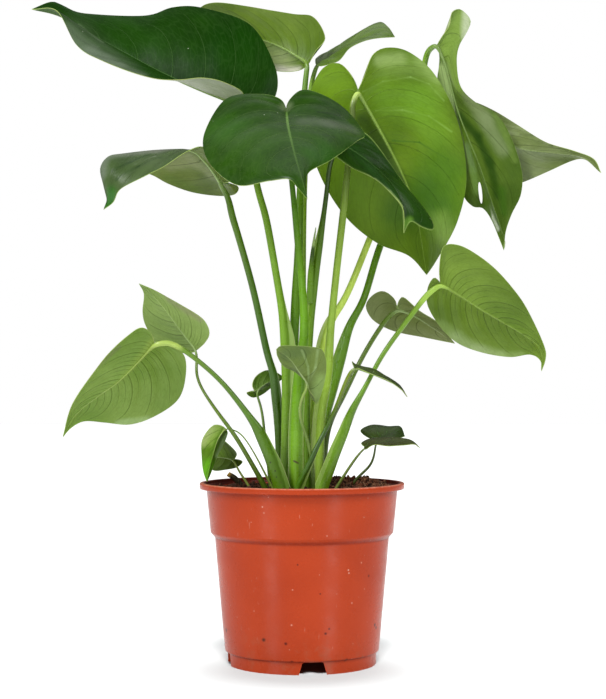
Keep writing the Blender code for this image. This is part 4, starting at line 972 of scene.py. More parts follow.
def pot_wall():
    """From the floor's inside edge up, over the lip and down to the foot: radius, height and rounding."""
    lip_bottom = POT_HEIGHT - LIP_HEIGHT
    return [
        (BODY_BOTTOM_RADIUS - WALL, FOOT_HEIGHT + FLOOR_THICKNESS, 0.0),
        (SHOULDER_RADIUS - WALL, SHOULDER_BOTTOM + EDGE_ROUND, 1.5),
        (BAND_BOTTOM_RADIUS - WALL, BAND_BOTTOM + EDGE_ROUND, 1.5),
        (BODY_TOP_RADIUS - WALL, lip_bottom - WALL, 0.8),
        (LIP_INNER_RADIUS, POT_HEIGHT - LIP_INNER_HEIGHT, 0.6),
        (LIP_INNER_RADIUS, POT_HEIGHT, 0.7),
        (RIM_RADIUS, POT_HEIGHT, 1.3),
        (RIM_RADIUS, lip_bottom, 0.9),
        (BODY_TOP_RADIUS, lip_bottom, 0.7),
        (BAND_BOTTOM_RADIUS, BAND_BOTTOM, 0.8),
        (SHOULDER_RADIUS, SHOULDER_BOTTOM, 0.6),
        (BODY_BOTTOM_RADIUS, FOOT_HEIGHT, 1.2),
        (FOOT_RADIUS, FOOT_HEIGHT, 0.4),
        (FOOT_RADIUS, 0.0, 0.5),
        (FOOT_RADIUS - FOOT_WALL, 0.0, 0.5),
        (FOOT_RADIUS - FOOT_WALL, FOOT_HEIGHT, 0.0),
    ]


def with_rings(points):
    """The same profile with extra rings where two of its points are far apart."""
    rings = [points[0]]
    for start, end in zip(points, points[1:]):
        steps = max(1, math.ceil(np.linalg.norm(end - start) / LONGEST_RING))
        rings += [start + (end - start) * step / steps for step in range(1, steps + 1)]
    return rings


def draw_out(rings):
    """Selects the open edge, draws it on through these rings, each a radius and a height, and closes it."""
    bpy.ops.mesh.select_all(action="DESELECT")
    bpy.ops.mesh.select_non_manifold()
    for (radius, height), (next_radius, next_height) in zip(rings, rings[1:]):
        growth = next_radius / radius
        bpy.ops.mesh.extrude_edges_move(
            TRANSFORM_OT_translate={"value": (0.0, 0.0, (next_height - height) * MM)}
        )
        bpy.ops.transform.resize(value=(growth, growth, 1.0), center_override=(0.0, 0.0, 0.0))
    bpy.ops.mesh.edge_face_add()
    bpy.ops.mesh.select_all(action="SELECT")


def pot_finish():
    plastic = Finish("terracotta_pot", 0.4, 0.13)
    place = plastic.place()
    plastic.tone = plastic.blend(plastic.cloud(place, 16.0, 0.2, 0.8, detail=2.0), POT_DARK, POT_LIGHT)
    grain = plastic.mottle(place, 900.0, 2.0)
    plastic.paint(POT_PALE, plastic.fade(grain, 0.52, 0.75, 0.0, 0.22))
    x, y, height = plastic.parts(place)
    # Painted shade: darker bands just under the lip, under the shoulder's ledge and under the body's overhang
    # above the foot
    for middle, half_width, share in (
        (SHOULDER_BOTTOM + 0.6, 2.4, 0.55),
        (FOOT_HEIGHT - 0.2, 1.2, 0.5),
        (POT_HEIGHT - LIP_HEIGHT - 1.2, 2.2, 0.35),
    ):
        plastic.paint(POT_SHADE, plastic.band(height, middle, half_width), share)
    radius = plastic.vector("DISTANCE", plastic.flat_place(x, y), (0.0, 0.0, 0.0))
    # Painted shade: the inside of the wall above the soil, darkened where the soil and leaves shade it
    inside_shade = plastic.fade(radius, 83.5 * MM, 81.8 * MM)
    plastic.paint(POT_INSIDE_SHADE, inside_shade, plastic.fade(height, 146.2 * MM, 146.7 * MM), 0.85)
    soiling = plastic.cloud(place, 90.0, 0.5, 0.68, detail=5.0, roughness=0.7)
    plastic.paint(POT_DUST, plastic.fade(height, 45.0 * MM, 0.0, 0.0, 0.5), soiling)
    plastic.paint(POT_SPECK, plastic.flecks(place, 210.0, 0.11, 0.06, 130.0), 0.5)
    long_place = plastic.place((1.0, 1.0, 0.06), (0.5, 0.3, 0.0))
    scratches = plastic.cloud(long_place, 1100.0, 0.7, 0.76, detail=2.0, roughness=0.6)
    scratched = plastic.product(scratches, plastic.cloud(place, 35.0, 0.52, 0.62, detail=2.0))
    plastic.paint(POT_SPECK, scratched, 0.35)
    # A paler, broken line along the top of the lip
    on_lip = plastic.fade(height, 149.6 * MM, 150.9 * MM)
    on_lip = plastic.product(on_lip, plastic.fade(radius, 82.0 * MM, 83.5 * MM))
    plastic.paint(POT_LIP_PALE, on_lip, plastic.cloud(place, 200.0, 0.35, 0.65, 0.25, 0.7, 4.0, 0.7))
    plastic.patches([([place], size, tone, share) for place, size, tone, share in POT_MARKS], 1.1)
    plastic.roughness(plastic.cloud(place, 70.0, 0.3, 0.7, 0.24, 0.34, 4.0))
    plastic.relief(plastic.reckon("ADD", grain, plastic.product(scratched, -1.5)), 0.012)
    return plastic.done()


def make_pot():
    """One closed wall turned up the inside, over the lip and down, with notched foot and drain holes."""
    rings = with_rings(rounded(pot_wall()))
    start_fresh()
    bpy.ops.mesh.primitive_circle_add(
        vertices=POT_SIDES, radius=rings[0][0] * MM, fill_type="NGON", location=(0.0, 0.0, rings[0][1] * MM)
    )
    pot = named("nursery_pot")
    bpy.ops.object.transform_apply(location=True, rotation=True, scale=True)
    bpy.ops.object.mode_set(mode="EDIT")
    bpy.ops.mesh.select_all(action="SELECT")
    bpy.ops.mesh.flip_normals()
    draw_out(rings)
    bpy.ops.mesh.normals_make_consistent(inside=False)
    bpy.ops.object.mode_set(mode="OBJECT")
    for number in range(NOTCH_COUNT):
        angle = FIRST_NOTCH_ANGLE + number * 2.0 * math.pi / NOTCH_COUNT
        cut_away(pot, notch_cutter(angle))
        cut_away(pot, drain_cutter(angle))
    dress(pot, 32.0, pot_finish(), "terracotta_plastic", "pot")
    return pot


def round_pot(radius, angle, height):
    """A place in the pot, in metres, from its radius, angle and height."""
    return radius * math.cos(angle) * MM, radius * math.sin(angle) * MM, height * MM


def notch_cutter(angle):
    """A block that narrows upwards, through the foot ring at this angle."""
    flare = (NOTCH_BOTTOM_WIDTH - NOTCH_TOP_WIDTH) / NOTCH_HEIGHT
    start_fresh()
    bpy.ops.mesh.primitive_cone_add(
        vertices=4,
        radius1=(NOTCH_BOTTOM_WIDTH + flare * NOTCH_BELOW) / math.sqrt(2.0) * MM,
        radius2=NOTCH_TOP_WIDTH / math.sqrt(2.0) * MM,
        depth=(NOTCH_HEIGHT + NOTCH_BELOW) * MM,
        location=round_pot(FOOT_RADIUS, angle, (NOTCH_HEIGHT - NOTCH_BELOW) / 2.0),
        rotation=(0.0, 0.0, angle + math.radians(45.0)),
    )
    cutter = named("notch_cutter")
    bpy.ops.object.mode_set(mode="EDIT")
    bpy.ops.mesh.select_all(action="SELECT")
    bpy.ops.mesh.bevel(offset=NOTCH_ROUND * MM, segments=4, affect="EDGES")
    bpy.ops.object.mode_set(mode="OBJECT")
    return cutter


def drain_cutter(angle):
    start_fresh()
    bpy.ops.mesh.primitive_cylinder_add(
        vertices=32,
        radius=DRAIN_RADIUS * MM,
        depth=DRAIN_CUT * MM,
        location=round_pot(DRAIN_PLACE, angle, FOOT_HEIGHT + FLOOR_THICKNESS / 2.0),
    )
    return named("drain_cutter")


def cut_away(piece, cutter):
    start_fresh()
    boolean = piece.modifiers.new("Cut", "BOOLEAN")
    boolean.operation = "DIFFERENCE"
    boolean.solver = "EXACT"
    boolean.object = cutter
    apply_modifiers(piece)
    bpy.data.objects.remove(cutter)


def soil_height(x, y):
    """Height of the soil's surface at a place: peat with a heap to the back right, lumps and small crumbs."""
    away = (x - SOIL_HEAP_PLACE[0]) ** 2 + (y - SOIL_HEAP_PLACE[1]) ** 2
    heap = SOIL_HEAP * math.exp(-away / (2.0 * SOIL_HEAP_SPREAD**2))
    lumps = math.sin(x * 0.31 + 1.3) * math.cos(y * 0.27 - 0.6) + 0.6 * math.sin(x * 0.13 - y * 0.21 + 2.1)
    coarse = noise.noise(Vector((x * 0.16, y * 0.16, 3.7)))
    fine = abs(noise.noise(Vector((x * 0.45, y * 0.45, 8.1))))
    small = noise.noise(Vector((x * 1.1, y * 1.1, 1.9)))
    return SOIL_LEVEL + heap + SOIL_ROUGHNESS * lumps + 1.1 * coarse + 1.3 * fine + 0.35 * small - 0.3


def soil_finish():
    peat = Finish("potting_soil", 0.95, 0.25)
    place = peat.place()
    clumps = peat.mottle(place, 160.0, 5.0, 0.65)
    peat.tone = peat.blend(peat.fade(clumps, 0.38, 0.62), SOIL_DARK, SOIL_BROWN)
    right = peat.fade(peat.parts(place)["X"], 5.0 * MM, 60.0 * MM)
    peat.paint(SOIL_RED, right, peat.fade(clumps, 0.4, 0.58))
    dry = peat.cloud(place, 420.0, 0.47, 0.62, detail=4.0, roughness=0.7)
    peat.paint(SOIL_TAN, dry, peat.fade(right, 0.0, 1.0, 0.18, 0.85))
    bits = peat.fade(peat.cells(place, 520.0), 0.16, 0.08)
    peat.paint(SOIL_PALE, bits, peat.fade(right, 0.0, 1.0, 0.1, 0.5))
    peat.relief(peat.reckon("ADD", clumps, peat.mottle(place, 1300.0, 3.0, 0.7)), 1.2)
    return peat.done()


def make_soil():
    """The filling: a crumbly top, and sides that follow the pot's inside down to its floor."""
    side = [(radius - GAP, height) for radius, height, _ in pot_wall()[:4]]
    edge = side[3][0]
    start_fresh()
    bpy.ops.mesh.primitive_circle_add(
        vertices=SOIL_SIDES, radius=SOIL_FIRST_RING * MM, fill_type="TRIFAN", location=(0.0, 0.0, 0.0)
    )
    soil = named("potting_soil")
    bpy.ops.object.mode_set(mode="EDIT")
    outline = [(radius, SOIL_LEVEL) for radius in np.linspace(SOIL_FIRST_RING, edge, SOIL_RINGS)]
    draw_out(outline + [(edge, SOIL_LEVEL - 2.0)] + side[2:0:-1] + [(side[0][0], side[0][1] + GAP)])
    bpy.ops.transform.translate(value=(0.0, 0.0, SOIL_LEVEL * MM))
    bpy.ops.mesh.normals_make_consistent(inside=False)
    bpy.ops.object.mode_set(mode="OBJECT")
    for vertex in soil.data.vertices:
        if vertex.co.z > (SOIL_LEVEL - 1.0) * MM:
            vertex.co.z = soil_height(vertex.co.x / MM, vertex.co.y / MM) * MM
    finish = soil_finish()
    dress(soil, 60.0, finish, "peat", "soil")
    make_crumbs(finish)
    make_fibres()
    return soil


def clear_of_stalks(x, y, room):
    feet = (leaf["stalk"][0] for leaf in LEAVES.values())
    return all(math.hypot(x - foot[0], y - foot[1]) >= foot[3] + room for foot in feet)


def spot_on_soil(room):
    """A random place on the soil that no stalk stands on."""
    while True:
        angle = random.uniform(0.0, 2.0 * math.pi)
        radius = CRUMB_REACH * math.sqrt(random.random())
        x, y = radius * math.cos(angle), radius * math.sin(angle)
        if clear_of_stalks(x, y, room):
            return x, y


def random_turn():
    return [random.uniform(0.0, 2.0 * math.pi) for _ in range(3)]


def join_all(pieces, name):
    start_fresh()
    for piece in pieces:
        piece.select_set(True)
    bpy.context.view_layer.objects.active = pieces[0]
    bpy.ops.object.join()
    bpy.ops.object.transform_apply(location=True, rotation=True, scale=True)
    return named(name)


def copy_of(piece, place, turn, size):
    """A copy with its own mesh, set down here with this turn and these sizes."""
    copy = piece.copy()
    copy.data = piece.data.copy()
    bpy.context.collection.objects.link(copy)
    copy.location = Vector(place) * MM
    copy.rotation_euler = turn
    copy.scale = size
    return copy


def make_crumbs(finish):
    """Loose crumbs of peat, slivers of bark and heaped chunks that lie on the soil."""
    start_fresh()
    bpy.ops.mesh.primitive_ico_sphere_add(subdivisions=2, radius=1.0 * MM, location=(0.0, 0.0, 0.0))
    lump = named("crumb")
    for vertex in lump.data.vertices:
        way = vertex.co.normalized()
        vertex.co *= 1.0 + 0.35 * noise.noise(way * 1.7) + 0.22 * noise.noise(way * 4.1)
    crumbs = []
    for _ in range(CRUMB_COUNT):
        x, y = spot_on_soil(2.5)
        width = random.uniform(0.5, 1.3) ** 2 * 1.3
        long = width * random.uniform(1.0, 2.2)
        turn = random_turn()
        place = (x, y, soil_height(x, y) + 0.35 * width)
        crumbs.append(copy_of(lump, place, turn, (long, width, width * random.uniform(0.6, 0.9))))
    for _ in range(SLIVER_COUNT):
        x, y = spot_on_soil(3.5)
        long = random.uniform(2.0, 4.5)
        turn = (random.uniform(-0.3, 0.3), random.uniform(-0.25, 0.25), random.uniform(0.0, math.pi))
        place = (x, y, soil_height(x, y) + 0.8)
        crumbs.append(copy_of(lump, place, turn, (long, random.uniform(0.6, 1.2), 0.45)))
    for _ in range(CHUNK_COUNT):
        x = random.gauss(SOIL_HEAP_PLACE[0], CHUNK_SPREAD)
        y = random.gauss(SOIL_HEAP_PLACE[1] - CHUNKS_BEFORE_HEAP, CHUNK_SPREAD)
        width = random.uniform(1.2, 2.4)
        if math.hypot(x, y) > CHUNK_REACH or not clear_of_stalks(x, y, 4.0):
            continue
        turn = random_turn()
        place = (x, y, soil_height(x, y) + random.uniform(0.2, 1.6))
        crumbs.append(copy_of(lump, place, turn, (width * random.uniform(1.1, 2.2), width, width * 0.7)))
    bpy.data.objects.remove(lump)
    dress(join_all(crumbs, "soil_crumbs"), 70.0, finish, "peat")


def plain_finish(name, roughness, shine, scale, low, high, tones, grain_scale, depth):
    """Two tones mottled together over a fine grain."""
    finish = Finish(name, roughness, shine)
    finish.tone = finish.blend(finish.cloud(finish.place(), scale, low, high), *tones)
    finish.relief(finish.mottle(finish.place(), grain_scale, 2.0), depth)
    return finish.done()


def make_fibres():
    """Thin bent root hairs and fibres in the soil's surface."""
    fibres = []
    for _ in range(FIBRE_COUNT):
        x, y = spot_on_soil(4.0)
        heading = random.uniform(0.0, 2.0 * math.pi)
        points = []
        for step in range(5):
            rise = math.sin(math.pi * step / 4.0) * random.uniform(0.6, 2.2)
            points.append((x, y, soil_height(x, y) - 0.4 + rise, 0.16))
            heading += random.uniform(-0.5, 0.5)
            length = random.uniform(1.6, 3.4)
            x += length * math.cos(heading)
            y += length * math.sin(heading)
            radius = math.hypot(x, y)
            if radius > FIBRE_REACH:
                x, y = x * FIBRE_REACH / radius, y * FIBRE_REACH / radius
        fibres.append(make_tube("fibre", evenly(smooth_path(points), 12), 6))
    finish = plain_finish("soil_fibre", 0.8, 0.3, 60.0, 0.35, 0.65, (SOIL_BROWN, SOIL_TAN), 1500.0, 0.2)
    dress(join_all(fibres, "soil_fibres"), 60.0, finish, "peat")


def ring_outline(angles, half_width, depth, core, wing_side):
    """One ring as places across and towards the viewer, and how much of each is wing.

    A sheath is a round core with a thin wing beside it: to the left for 1, to the right for -1, both for 0.
    """
    across = np.cos(angles) * half_width
    if core >= half_width * 0.97:
        return across, np.sin(angles) * depth, np.zeros(len(angles))
    middle = -wing_side * (half_width - core)
    outside = np.abs(across - middle) - core
    round_part = np.sqrt(np.clip(core**2 - (across - middle) ** 2, 0.0, None))
    round_part = round_part * depth / half_width**0.5 / core**0.5
    thin_part = WING_THICKNESS * np.abs(np.sin(angles)) ** 0.3
    deep = np.sign(np.sin(angles)) * np.maximum(round_part, thin_part)
    return across, deep, np.clip(outside / 0.5 + 0.5, 0.0, 1.0)


def make_tube(name, rings, sides, flat_way=None, flatness=None, core=None, wing_side=0.0):
    """A closed tube along the rings, given as x, y, z and half width.

    The flat way is the direction in which each ring is flattened, and the flatness its depth over its width.
    The core is the half width of each ring's round part.
    """
    centres, half_widths = rings[:, :3], rings[:, 3]
    ways = unit(np.gradient(centres, axis=0))
    across_way = unit(np.cross(ways[0], (0.0, 1.0, 0.0)))
    angles = np.linspace(0.0, 2.0 * math.pi, sides + 1)
    points, wings = [], []
    last = len(rings) - 1
    for number, way in enumerate(ways):
        across_way = unit(across_way - way * (across_way @ way))
        round_way = np.cross(way, across_way)
        half_width = half_widths[number]
        if core is not None and core[number] < half_width:
            across, deep, wing = ring_outline(
                angles, half_width, half_width * flatness[number], core[number], wing_side
            )
            spread = across[:, None] * across_way + deep[:, None] * round_way
        else:
            spread = (np.cos(angles)[:, None] * across_way + np.sin(angles)[:, None] * round_way) * half_width
            if flat_way is not None:
                lean = (spread @ flat_way[number])[:, None] * flat_way[number]
                spread = spread - lean * (1.0 - flatness[number])
            wing = np.zeros(sides + 1)
        if number in (0, last):
            spread = spread * 0.0
        points.append(centres[number] + spread)
        wings.append(wing)
    start_fresh()
    bpy.ops.mesh.primitive_grid_add(x_subdivisions=sides, y_subdivisions=last, size=2.0)
    tube = named(name)
    move_points(tube, np.concatenate(points))
    record_value(tube, "wing", np.concatenate(wings))
    if core is not None:
        edge = np.abs(np.cos(angles)) ** 10
        record_value(tube, "wing_edge", np.concatenate([wing * edge for wing in wings]))
    merge_doubles(tube, 0.005, closed=True)
    return tube


def rooted(stalk):
    """The stalk's points with one more in the soil, on the straight line through its two lowest."""
    low, high = (np.array(point[:3], float) for point in stalk[:2])
    root = low + (high - low) * (ROOT_DEPTH - low[2]) / (high[2] - low[2])
    return [(*root, stalk[0][3])] + list(stalk)


def margin_of(leaf, side):
    return smooth_path([leaf["rib"][0]] + leaf[side] + [leaf["rib"][-1]])


def leaf_upward(leaf, places):
    """The direction of the leaf's upper side at these places along its rib."""
    rib = smooth_path(leaf["rib"])
    swept = np.clip(places, 0.02, 0.97) ** (1.0 / VEIN_SWEEP)
    across = along(margin_of(leaf, "left"), swept) - along(margin_of(leaf, "right"), swept)
    ahead = along(rib, np.minimum(places + 0.05, 1.0)) - along(rib, np.maximum(places - 0.05, 0.0))
    return unit(np.cross(ahead, across))


def soften(rings, start, end, times):
    """Evens out the rings between two of them, a little each time."""
    for _ in range(times):
        middle = 0.5 * rings[start:end]
        rings[start:end] = middle + 0.25 * (rings[start - 1 : end - 1] + rings[start + 1 : end + 1])


def stalk_and_rib(leaf, rib_size):
    """Rings of x, y, z, half width from the soil up the stalk and on under the blade as its midrib.

    Gives the rings, the direction each is flattened in, how flat each is and where the rib starts.
    """
    stalk = rooted(leaf["stalk"])
    base = np.array(leaf["rib"][0], float)
    upward = leaf_upward(leaf, np.array([0.05]))[0]
    neck = max(0.85 * leaf["stalk"][-1][3], 0.8)
    stalk = smooth_path(stalk + [(*(base - upward * neck * 0.8), neck)])
    stalk = evenly(stalk, max(20, round(path_length(stalk) / RING_SPACING)))
    soften(stalk, 1, len(stalk) - 1, 30)
    rib = smooth_path(leaf["rib"])
    places = np.linspace(0.0, RIB_END, max(12, round(path_length(rib) / RING_SPACING)))[1:]
    upwards = leaf_upward(leaf, places)
    swelling = np.exp(-places * path_length(rib) / 9.0)
    half_widths = (rib_size + 0.4 * swelling) * neck * (1.0 - places) ** 1.4 + 0.2
    centres = along(rib, places) - upwards * (half_widths * 0.72 - 0.12)[:, None]
    rings = np.vstack([stalk, np.hstack([centres, half_widths[:, None]])])
    joint = len(stalk)
    flat_way = np.vstack([np.tile((0.0, 1.0, 0.0), (joint, 1)), upwards])
    flat_way[joint - 6 : joint] = upwards[0]
    round_until = np.minimum(stalk[:, 3], STALK_FLATTEN_FROM)
    depth = (round_until + 0.3 * np.maximum(stalk[:, 3] - STALK_FLATTEN_FROM, 0.0)) / stalk[:, 3]
    flatness = np.concatenate([depth, np.full(len(places), 0.75)])
    soften(rings, joint - 6, joint + 6, 9)
    return rings, flat_way, flatness, joint


def stalk_finish(name, look, joint):
    """Long fine lines, paler wings, painted light and shade, and the tones of this stalk from its foot to its
    blade and its midrib.
    """
    stalk = Finish(f"{name}_stalk", 0.3, 0.5)
    low, middle, high = (srgb(*tone) for tone in look["stalk"])
    around, up = stalk.sheet_place()
    stalk.tone = stalk.blend(stalk.fade(up, 0.0, 0.4 * joint), low, middle)
    stalk.paint(high, stalk.fade(up, 0.5 * joint, 0.9 * joint))
    stalk.paint(srgb(*look.get("rib", (150, 176, 104))), stalk.fade(up, joint - 0.04, joint + 0.02))
    rest = 1.0 - joint
    stalk.paint(srgb(*look["under"][1]), stalk.fade(up, joint + 0.1 * rest, joint + 0.8 * rest, 0.0, 0.85))
    place = stalk.place()
    darker = stalk.toned(0.78)
    stalk.paint(darker, stalk.cloud(place, 45.0, 0.35, 0.68), 0.55)
    lines = stalk.mottle(stalk.place((1.0, 1.0, 0.035)), 700.0, 3.0, 0.6)
    stalk.paint(stalk.toned(1.3, 0.9), stalk.fade(lines, 0.5, 0.7, 0.0, 0.45))
    # Painted light and shade: a lighter ridge in front and one at the back, darker flanks between them
    from_lit_ridge = stalk.from_whole(stalk.reckon("MULTIPLY_ADD", around, 2.0, 0.5 - 2.0 * STALK_LIT_RIDGE))
    shaded_flank = stalk.fade(stalk.reckon("SUBTRACT", 0.5, from_lit_ridge), 0.08, 0.42)
    stalk.paint(stalk.toned(0.72, 1.08), shaded_flank, 0.45)
    wing = stalk.value("wing")
    stalk.paint(srgb(*look.get("wing_tone", (142, 172, 78))), stalk.fade(wing, 0.6, 1.0, 0.0, 0.7))
    # Painted shade in the groove where the wing meets the round core
    stalk.paint(darker, stalk.fade(wing, 0.15, 0.5), stalk.fade(wing, 0.5, 0.95, 1.0, 0.0), 0.45)
    stalk.paint(WING_PALE, stalk.fade(stalk.value("wing_edge"), 0.3, 0.9, 0.0, 0.85))
    stalk.patches(look.get("stalk_patches", []))
    stalk.paint(SCAR_BROWN, stalk.flecks(place, 300.0, 0.14, 0.07, 90.0))
    stalk.roughness(stalk.cloud(place, 130.0, 0.3, 0.7, 0.24, 0.38))
    stalk.relief(lines, 0.25)
    return stalk.done()


def sheath_tip():
    """The free pointed end of a sheath, beside its stalk."""
    rings = evenly(smooth_path(SHEATH_TIP), 40)
    flat_way = np.tile((0.0, 1.0, 0.0), (len(rings), 1))
    return make_tube("sheath_tip", rings, 16, flat_way, np.full(len(rings), 0.45), rings[:, 3] + 1.0)


def make_stalk(name, leaf, look):
    rings, flat_way, flatness, joint = stalk_and_rib(leaf, look.get("rib_size", 0.4))
    rings[:, 3] *= look.get("slender", 1.0)
    wing_side, core_width = look.get("wing", (0.0, 10.0))
    core = np.minimum(rings[:, 3], core_width + 0.2 * (rings[:, 3] - core_width))
    stalk = make_tube(f"{name}_stalk", rings, STALK_SIDES, flat_way, flatness, core, wing_side)
    if name == SHEATH_LEAF:
        stalk = join_all([stalk, sheath_tip()], stalk.name)
    dress(stalk, 50.0, stalk_finish(name, look, joint / len(rings)), "stalk_green", f"stalk_{name}")


def blade_half(leaf, side, columns, rows):
    """A grid of points over one half of a blade: columns follow the side veins, from the rib to the margin.

    Gives the points, how far apart the side veins run at each, and the direction of the upper side.
    """
    rib = smooth_path(leaf["rib"])
    places = np.linspace(0.0, 1.0, columns + 1)
    vein_feet = along(rib, places**VEIN_SWEEP)
    ahead = along(rib, np.minimum(places**VEIN_SWEEP + 0.05, 1.0))
    behind = along(rib, np.maximum(places**VEIN_SWEEP - 0.05, 0.0))
    reach = along(margin_of(leaf, side), places) - vein_feet
    upward = unit(np.cross(ahead - behind, reach))
    if side == "right":
        upward = -upward
    across = np.linspace(0.0, 1.0, rows + 1)[None, :, None]
    arch = BLADE_ARCH * 4.0 * across * (1.0 - across) * np.linalg.norm(reach, axis=1)[:, None, None]
    points = vein_feet[:, None, :] + reach[:, None, :] * across + upward[:, None, :] * arch
    apart = np.gradient(points, axis=0) * columns
    sideways = unit(reach)[:, None, :]
    apart = apart - sideways * (apart * sideways).sum(axis=2, keepdims=True)
    return points, np.linalg.norm(apart, axis=2), np.repeat(upward[:, None, :], rows + 1, axis=1)


def nearest(points, path):
    """The distance of each point from the path."""
    gaps = np.empty(len(points))
    for first in range(0, len(points), 400):
        some = points[first : first + 400]
        gaps[first : first + 400] = np.linalg.norm(some[:, None, :] - path[None, :, :3], axis=2).min(axis=1)
    return gaps


def make_blade(name, leaf, look, margin):
    span = path_length(smooth_path(leaf["rib"]))
    columns, rows, veins = next(grid[1:] for grid in BLADE_GRIDS if span > grid[0])
    left, right = (blade_half(leaf, side, columns, rows) for side in ("left", "right"))
    points, apart, upward = (
        np.concatenate([one[:, ::-1], other[:, 1:]], axis=1) for one, other in zip(left, right)
    )
    across = np.abs(np.linspace(-1.0, 1.0, 2 * rows + 1))[None, :]
    down = np.linspace(0.0, 1.0, columns + 1)[:, None]
    on_right = (np.linspace(-1.0, 1.0, 2 * rows + 1) > 0.0)[None, :] * VEIN_STAGGER
    phase = (down - VEIN_CURVE * across**VEIN_BEND) * veins + on_right
    spacing = apart / veins
    quilt = np.minimum(QUILT * look.get("quilt", 1.0) * spacing, 0.9)
    swell = quilt * (0.5 - 0.5 * np.cos(2.0 * math.pi * phase))
    swell = swell * np.sin(math.pi * across) ** 0.8 * np.minimum(down * 8.0, 1.0) * (1.0 - down**3)
    seed = sum(map(ord, name)) % 17
    ripple = np.sin(down * 9.0 + seed) + 0.6 * np.sin(down * 17.0 + 2.0 * seed + on_right * 3.0)
    swell = swell + RIPPLE * min(span / 120.0, 1.0) * across**2 * ripple * np.sin(math.pi * down)
    start_fresh()
    bpy.ops.mesh.primitive_grid_add(x_subdivisions=2 * rows, y_subdivisions=columns, size=2.0)
    blade = named(f"{name}_blade")
    flat = (points + upward * swell[:, :, None]).reshape(-1, 3)
    move_points(blade, flat)
    rib = evenly(smooth_path(leaf["rib"]), 500)
    rib_places = np.repeat(down**VEIN_SWEEP, 2 * rows + 1, axis=1).ravel()
    rib_half_width = look.get("rib_width", 0.95) * (1.0 - rib_places) ** 0.8 * min(span / 110.0, 1.15) + 0.2
    record_value(blade, "rib_line", nearest(flat, rib) / rib_half_width)
    margins = [evenly(margin_of(leaf, side), 400) for side in ("left", "right")]
    record_value(blade, "from_edge", nearest(flat, np.vstack(margins)))
    record_value(blade, "vein_spacing", spacing)
    merge_doubles(blade, 0.01)
    for material in (upper_finish(name, look, veins), under_finish(name, look, veins), margin):
        blade.data.materials.append(material)
    solidify = blade.modifiers.new("Thickness", "SOLIDIFY")
    solidify.thickness = BLADE_THICKNESS * MM
    solidify.offset = 0.0
    solidify.material_offset = 1
    solidify.material_offset_rim = 2
    apply_modifiers(blade)
    if name == SLIT_LEAF:
        cut_away(blade, slit_cutter())
    dress(blade, 40.0, None, f"leaf_{name}", f"blade_{name}")


def slit_cutter():
    """The narrow window that this kind of leaf opens beside its rib."""
    start_fresh()
    bpy.ops.mesh.primitive_cylinder_add(
        vertices=40,
        radius=1.0,
        depth=SLIT_CUT * MM,
        location=Vector(SLIT_MIDDLE) * MM,
        rotation=(math.radians(90.0), SLIT_LEAN, 0.0),
        scale=(SLIT_HALF_WIDTH * MM, SLIT_HALF_LENGTH * MM, 1.0),
    )
    return named("slit_cutter")


def vein_pattern(leaf, veins):
    """The side veins, thinner ones between, the band from one to the next, streaks along them and a fine net.

    Gives also how far down the leaf a place is.
    """
    across_place, down = leaf.sheet_place()
    across = leaf.reckon("ABSOLUTE", leaf.reckon("MULTIPLY_ADD", across_place, 2.0, -1.0))
    bend = leaf.product(leaf.reckon("POWER", across, VEIN_BEND), -VEIN_CURVE)
    wobble = leaf.reckon("MULTIPLY_ADD", leaf.mottle(leaf.place(), 35.0, 2.0), 0.012, -0.006)
    swept = leaf.reckon("ADD", leaf.reckon("ADD", down, bend), wobble)
    stagger = leaf.product(leaf.reckon("GREATER_THAN", across_place, 0.5), VEIN_STAGGER)
    phase = leaf.reckon("MULTIPLY_ADD", swept, float(veins), stagger)
    spacing = leaf.value("vein_spacing")
    away = leaf.from_whole(phase)
    gap = leaf.reckon("DIVIDE", leaf.product(away, spacing), leaf.fade(across, 0.0, 1.0, 0.5, 0.25))
    line = leaf.product(leaf.fade(gap, 0.6, 1.3, 1.0, 0.0), leaf.fade(across, 0.82, 0.97, 1.0, 0.0))
    between = leaf.product(leaf.from_whole(leaf.product(phase, 3.0)), spacing)
    thin = leaf.product(leaf.fade(between, 0.3, 1.0, 1.0, 0.0), leaf.fade(across, 0.05, 0.8, 1.0, 0.0))
    streaks = leaf.flat_place(leaf.product(phase, 9.0), leaf.product(across, 1.6))
    fine = leaf.cloud(streaks, 1.0, 0.3, 0.7, roughness=0.6)
    grid = leaf.flat_place(leaf.product(phase, 7.0), leaf.product(across, 8.0))
    net = leaf.fade(leaf.cells(grid, 1.0, "DISTANCE_TO_EDGE"), 0.02, 0.12, 1.0, 0.0)
    return line, thin, leaf.fade(away, 0.0, 0.5), fine, net, down


def start_side(name, look, side, roughness, shine, cloud_scale):
    """A finish for one side of a leaf with its two tones clouded together and its patches on them."""
    leaf = Finish(f"{name}_{side}", roughness, shine)
    dark, light = (srgb(*tone) for tone in look[side])
    leaf.tone = leaf.blend(leaf.cloud(leaf.place(), cloud_scale, 0.25, 0.75, roughness=0.5), dark, light)
    leaf.patches(look.get(f"{side}_patches", look.get("both_patches", [])))
    return leaf


def raise_skin(leaf, place, height, depth):
    skin = leaf.product(leaf.mottle(place, 900.0, 2.0), 0.12)
    leaf.relief(leaf.reckon("ADD", height, skin), depth)


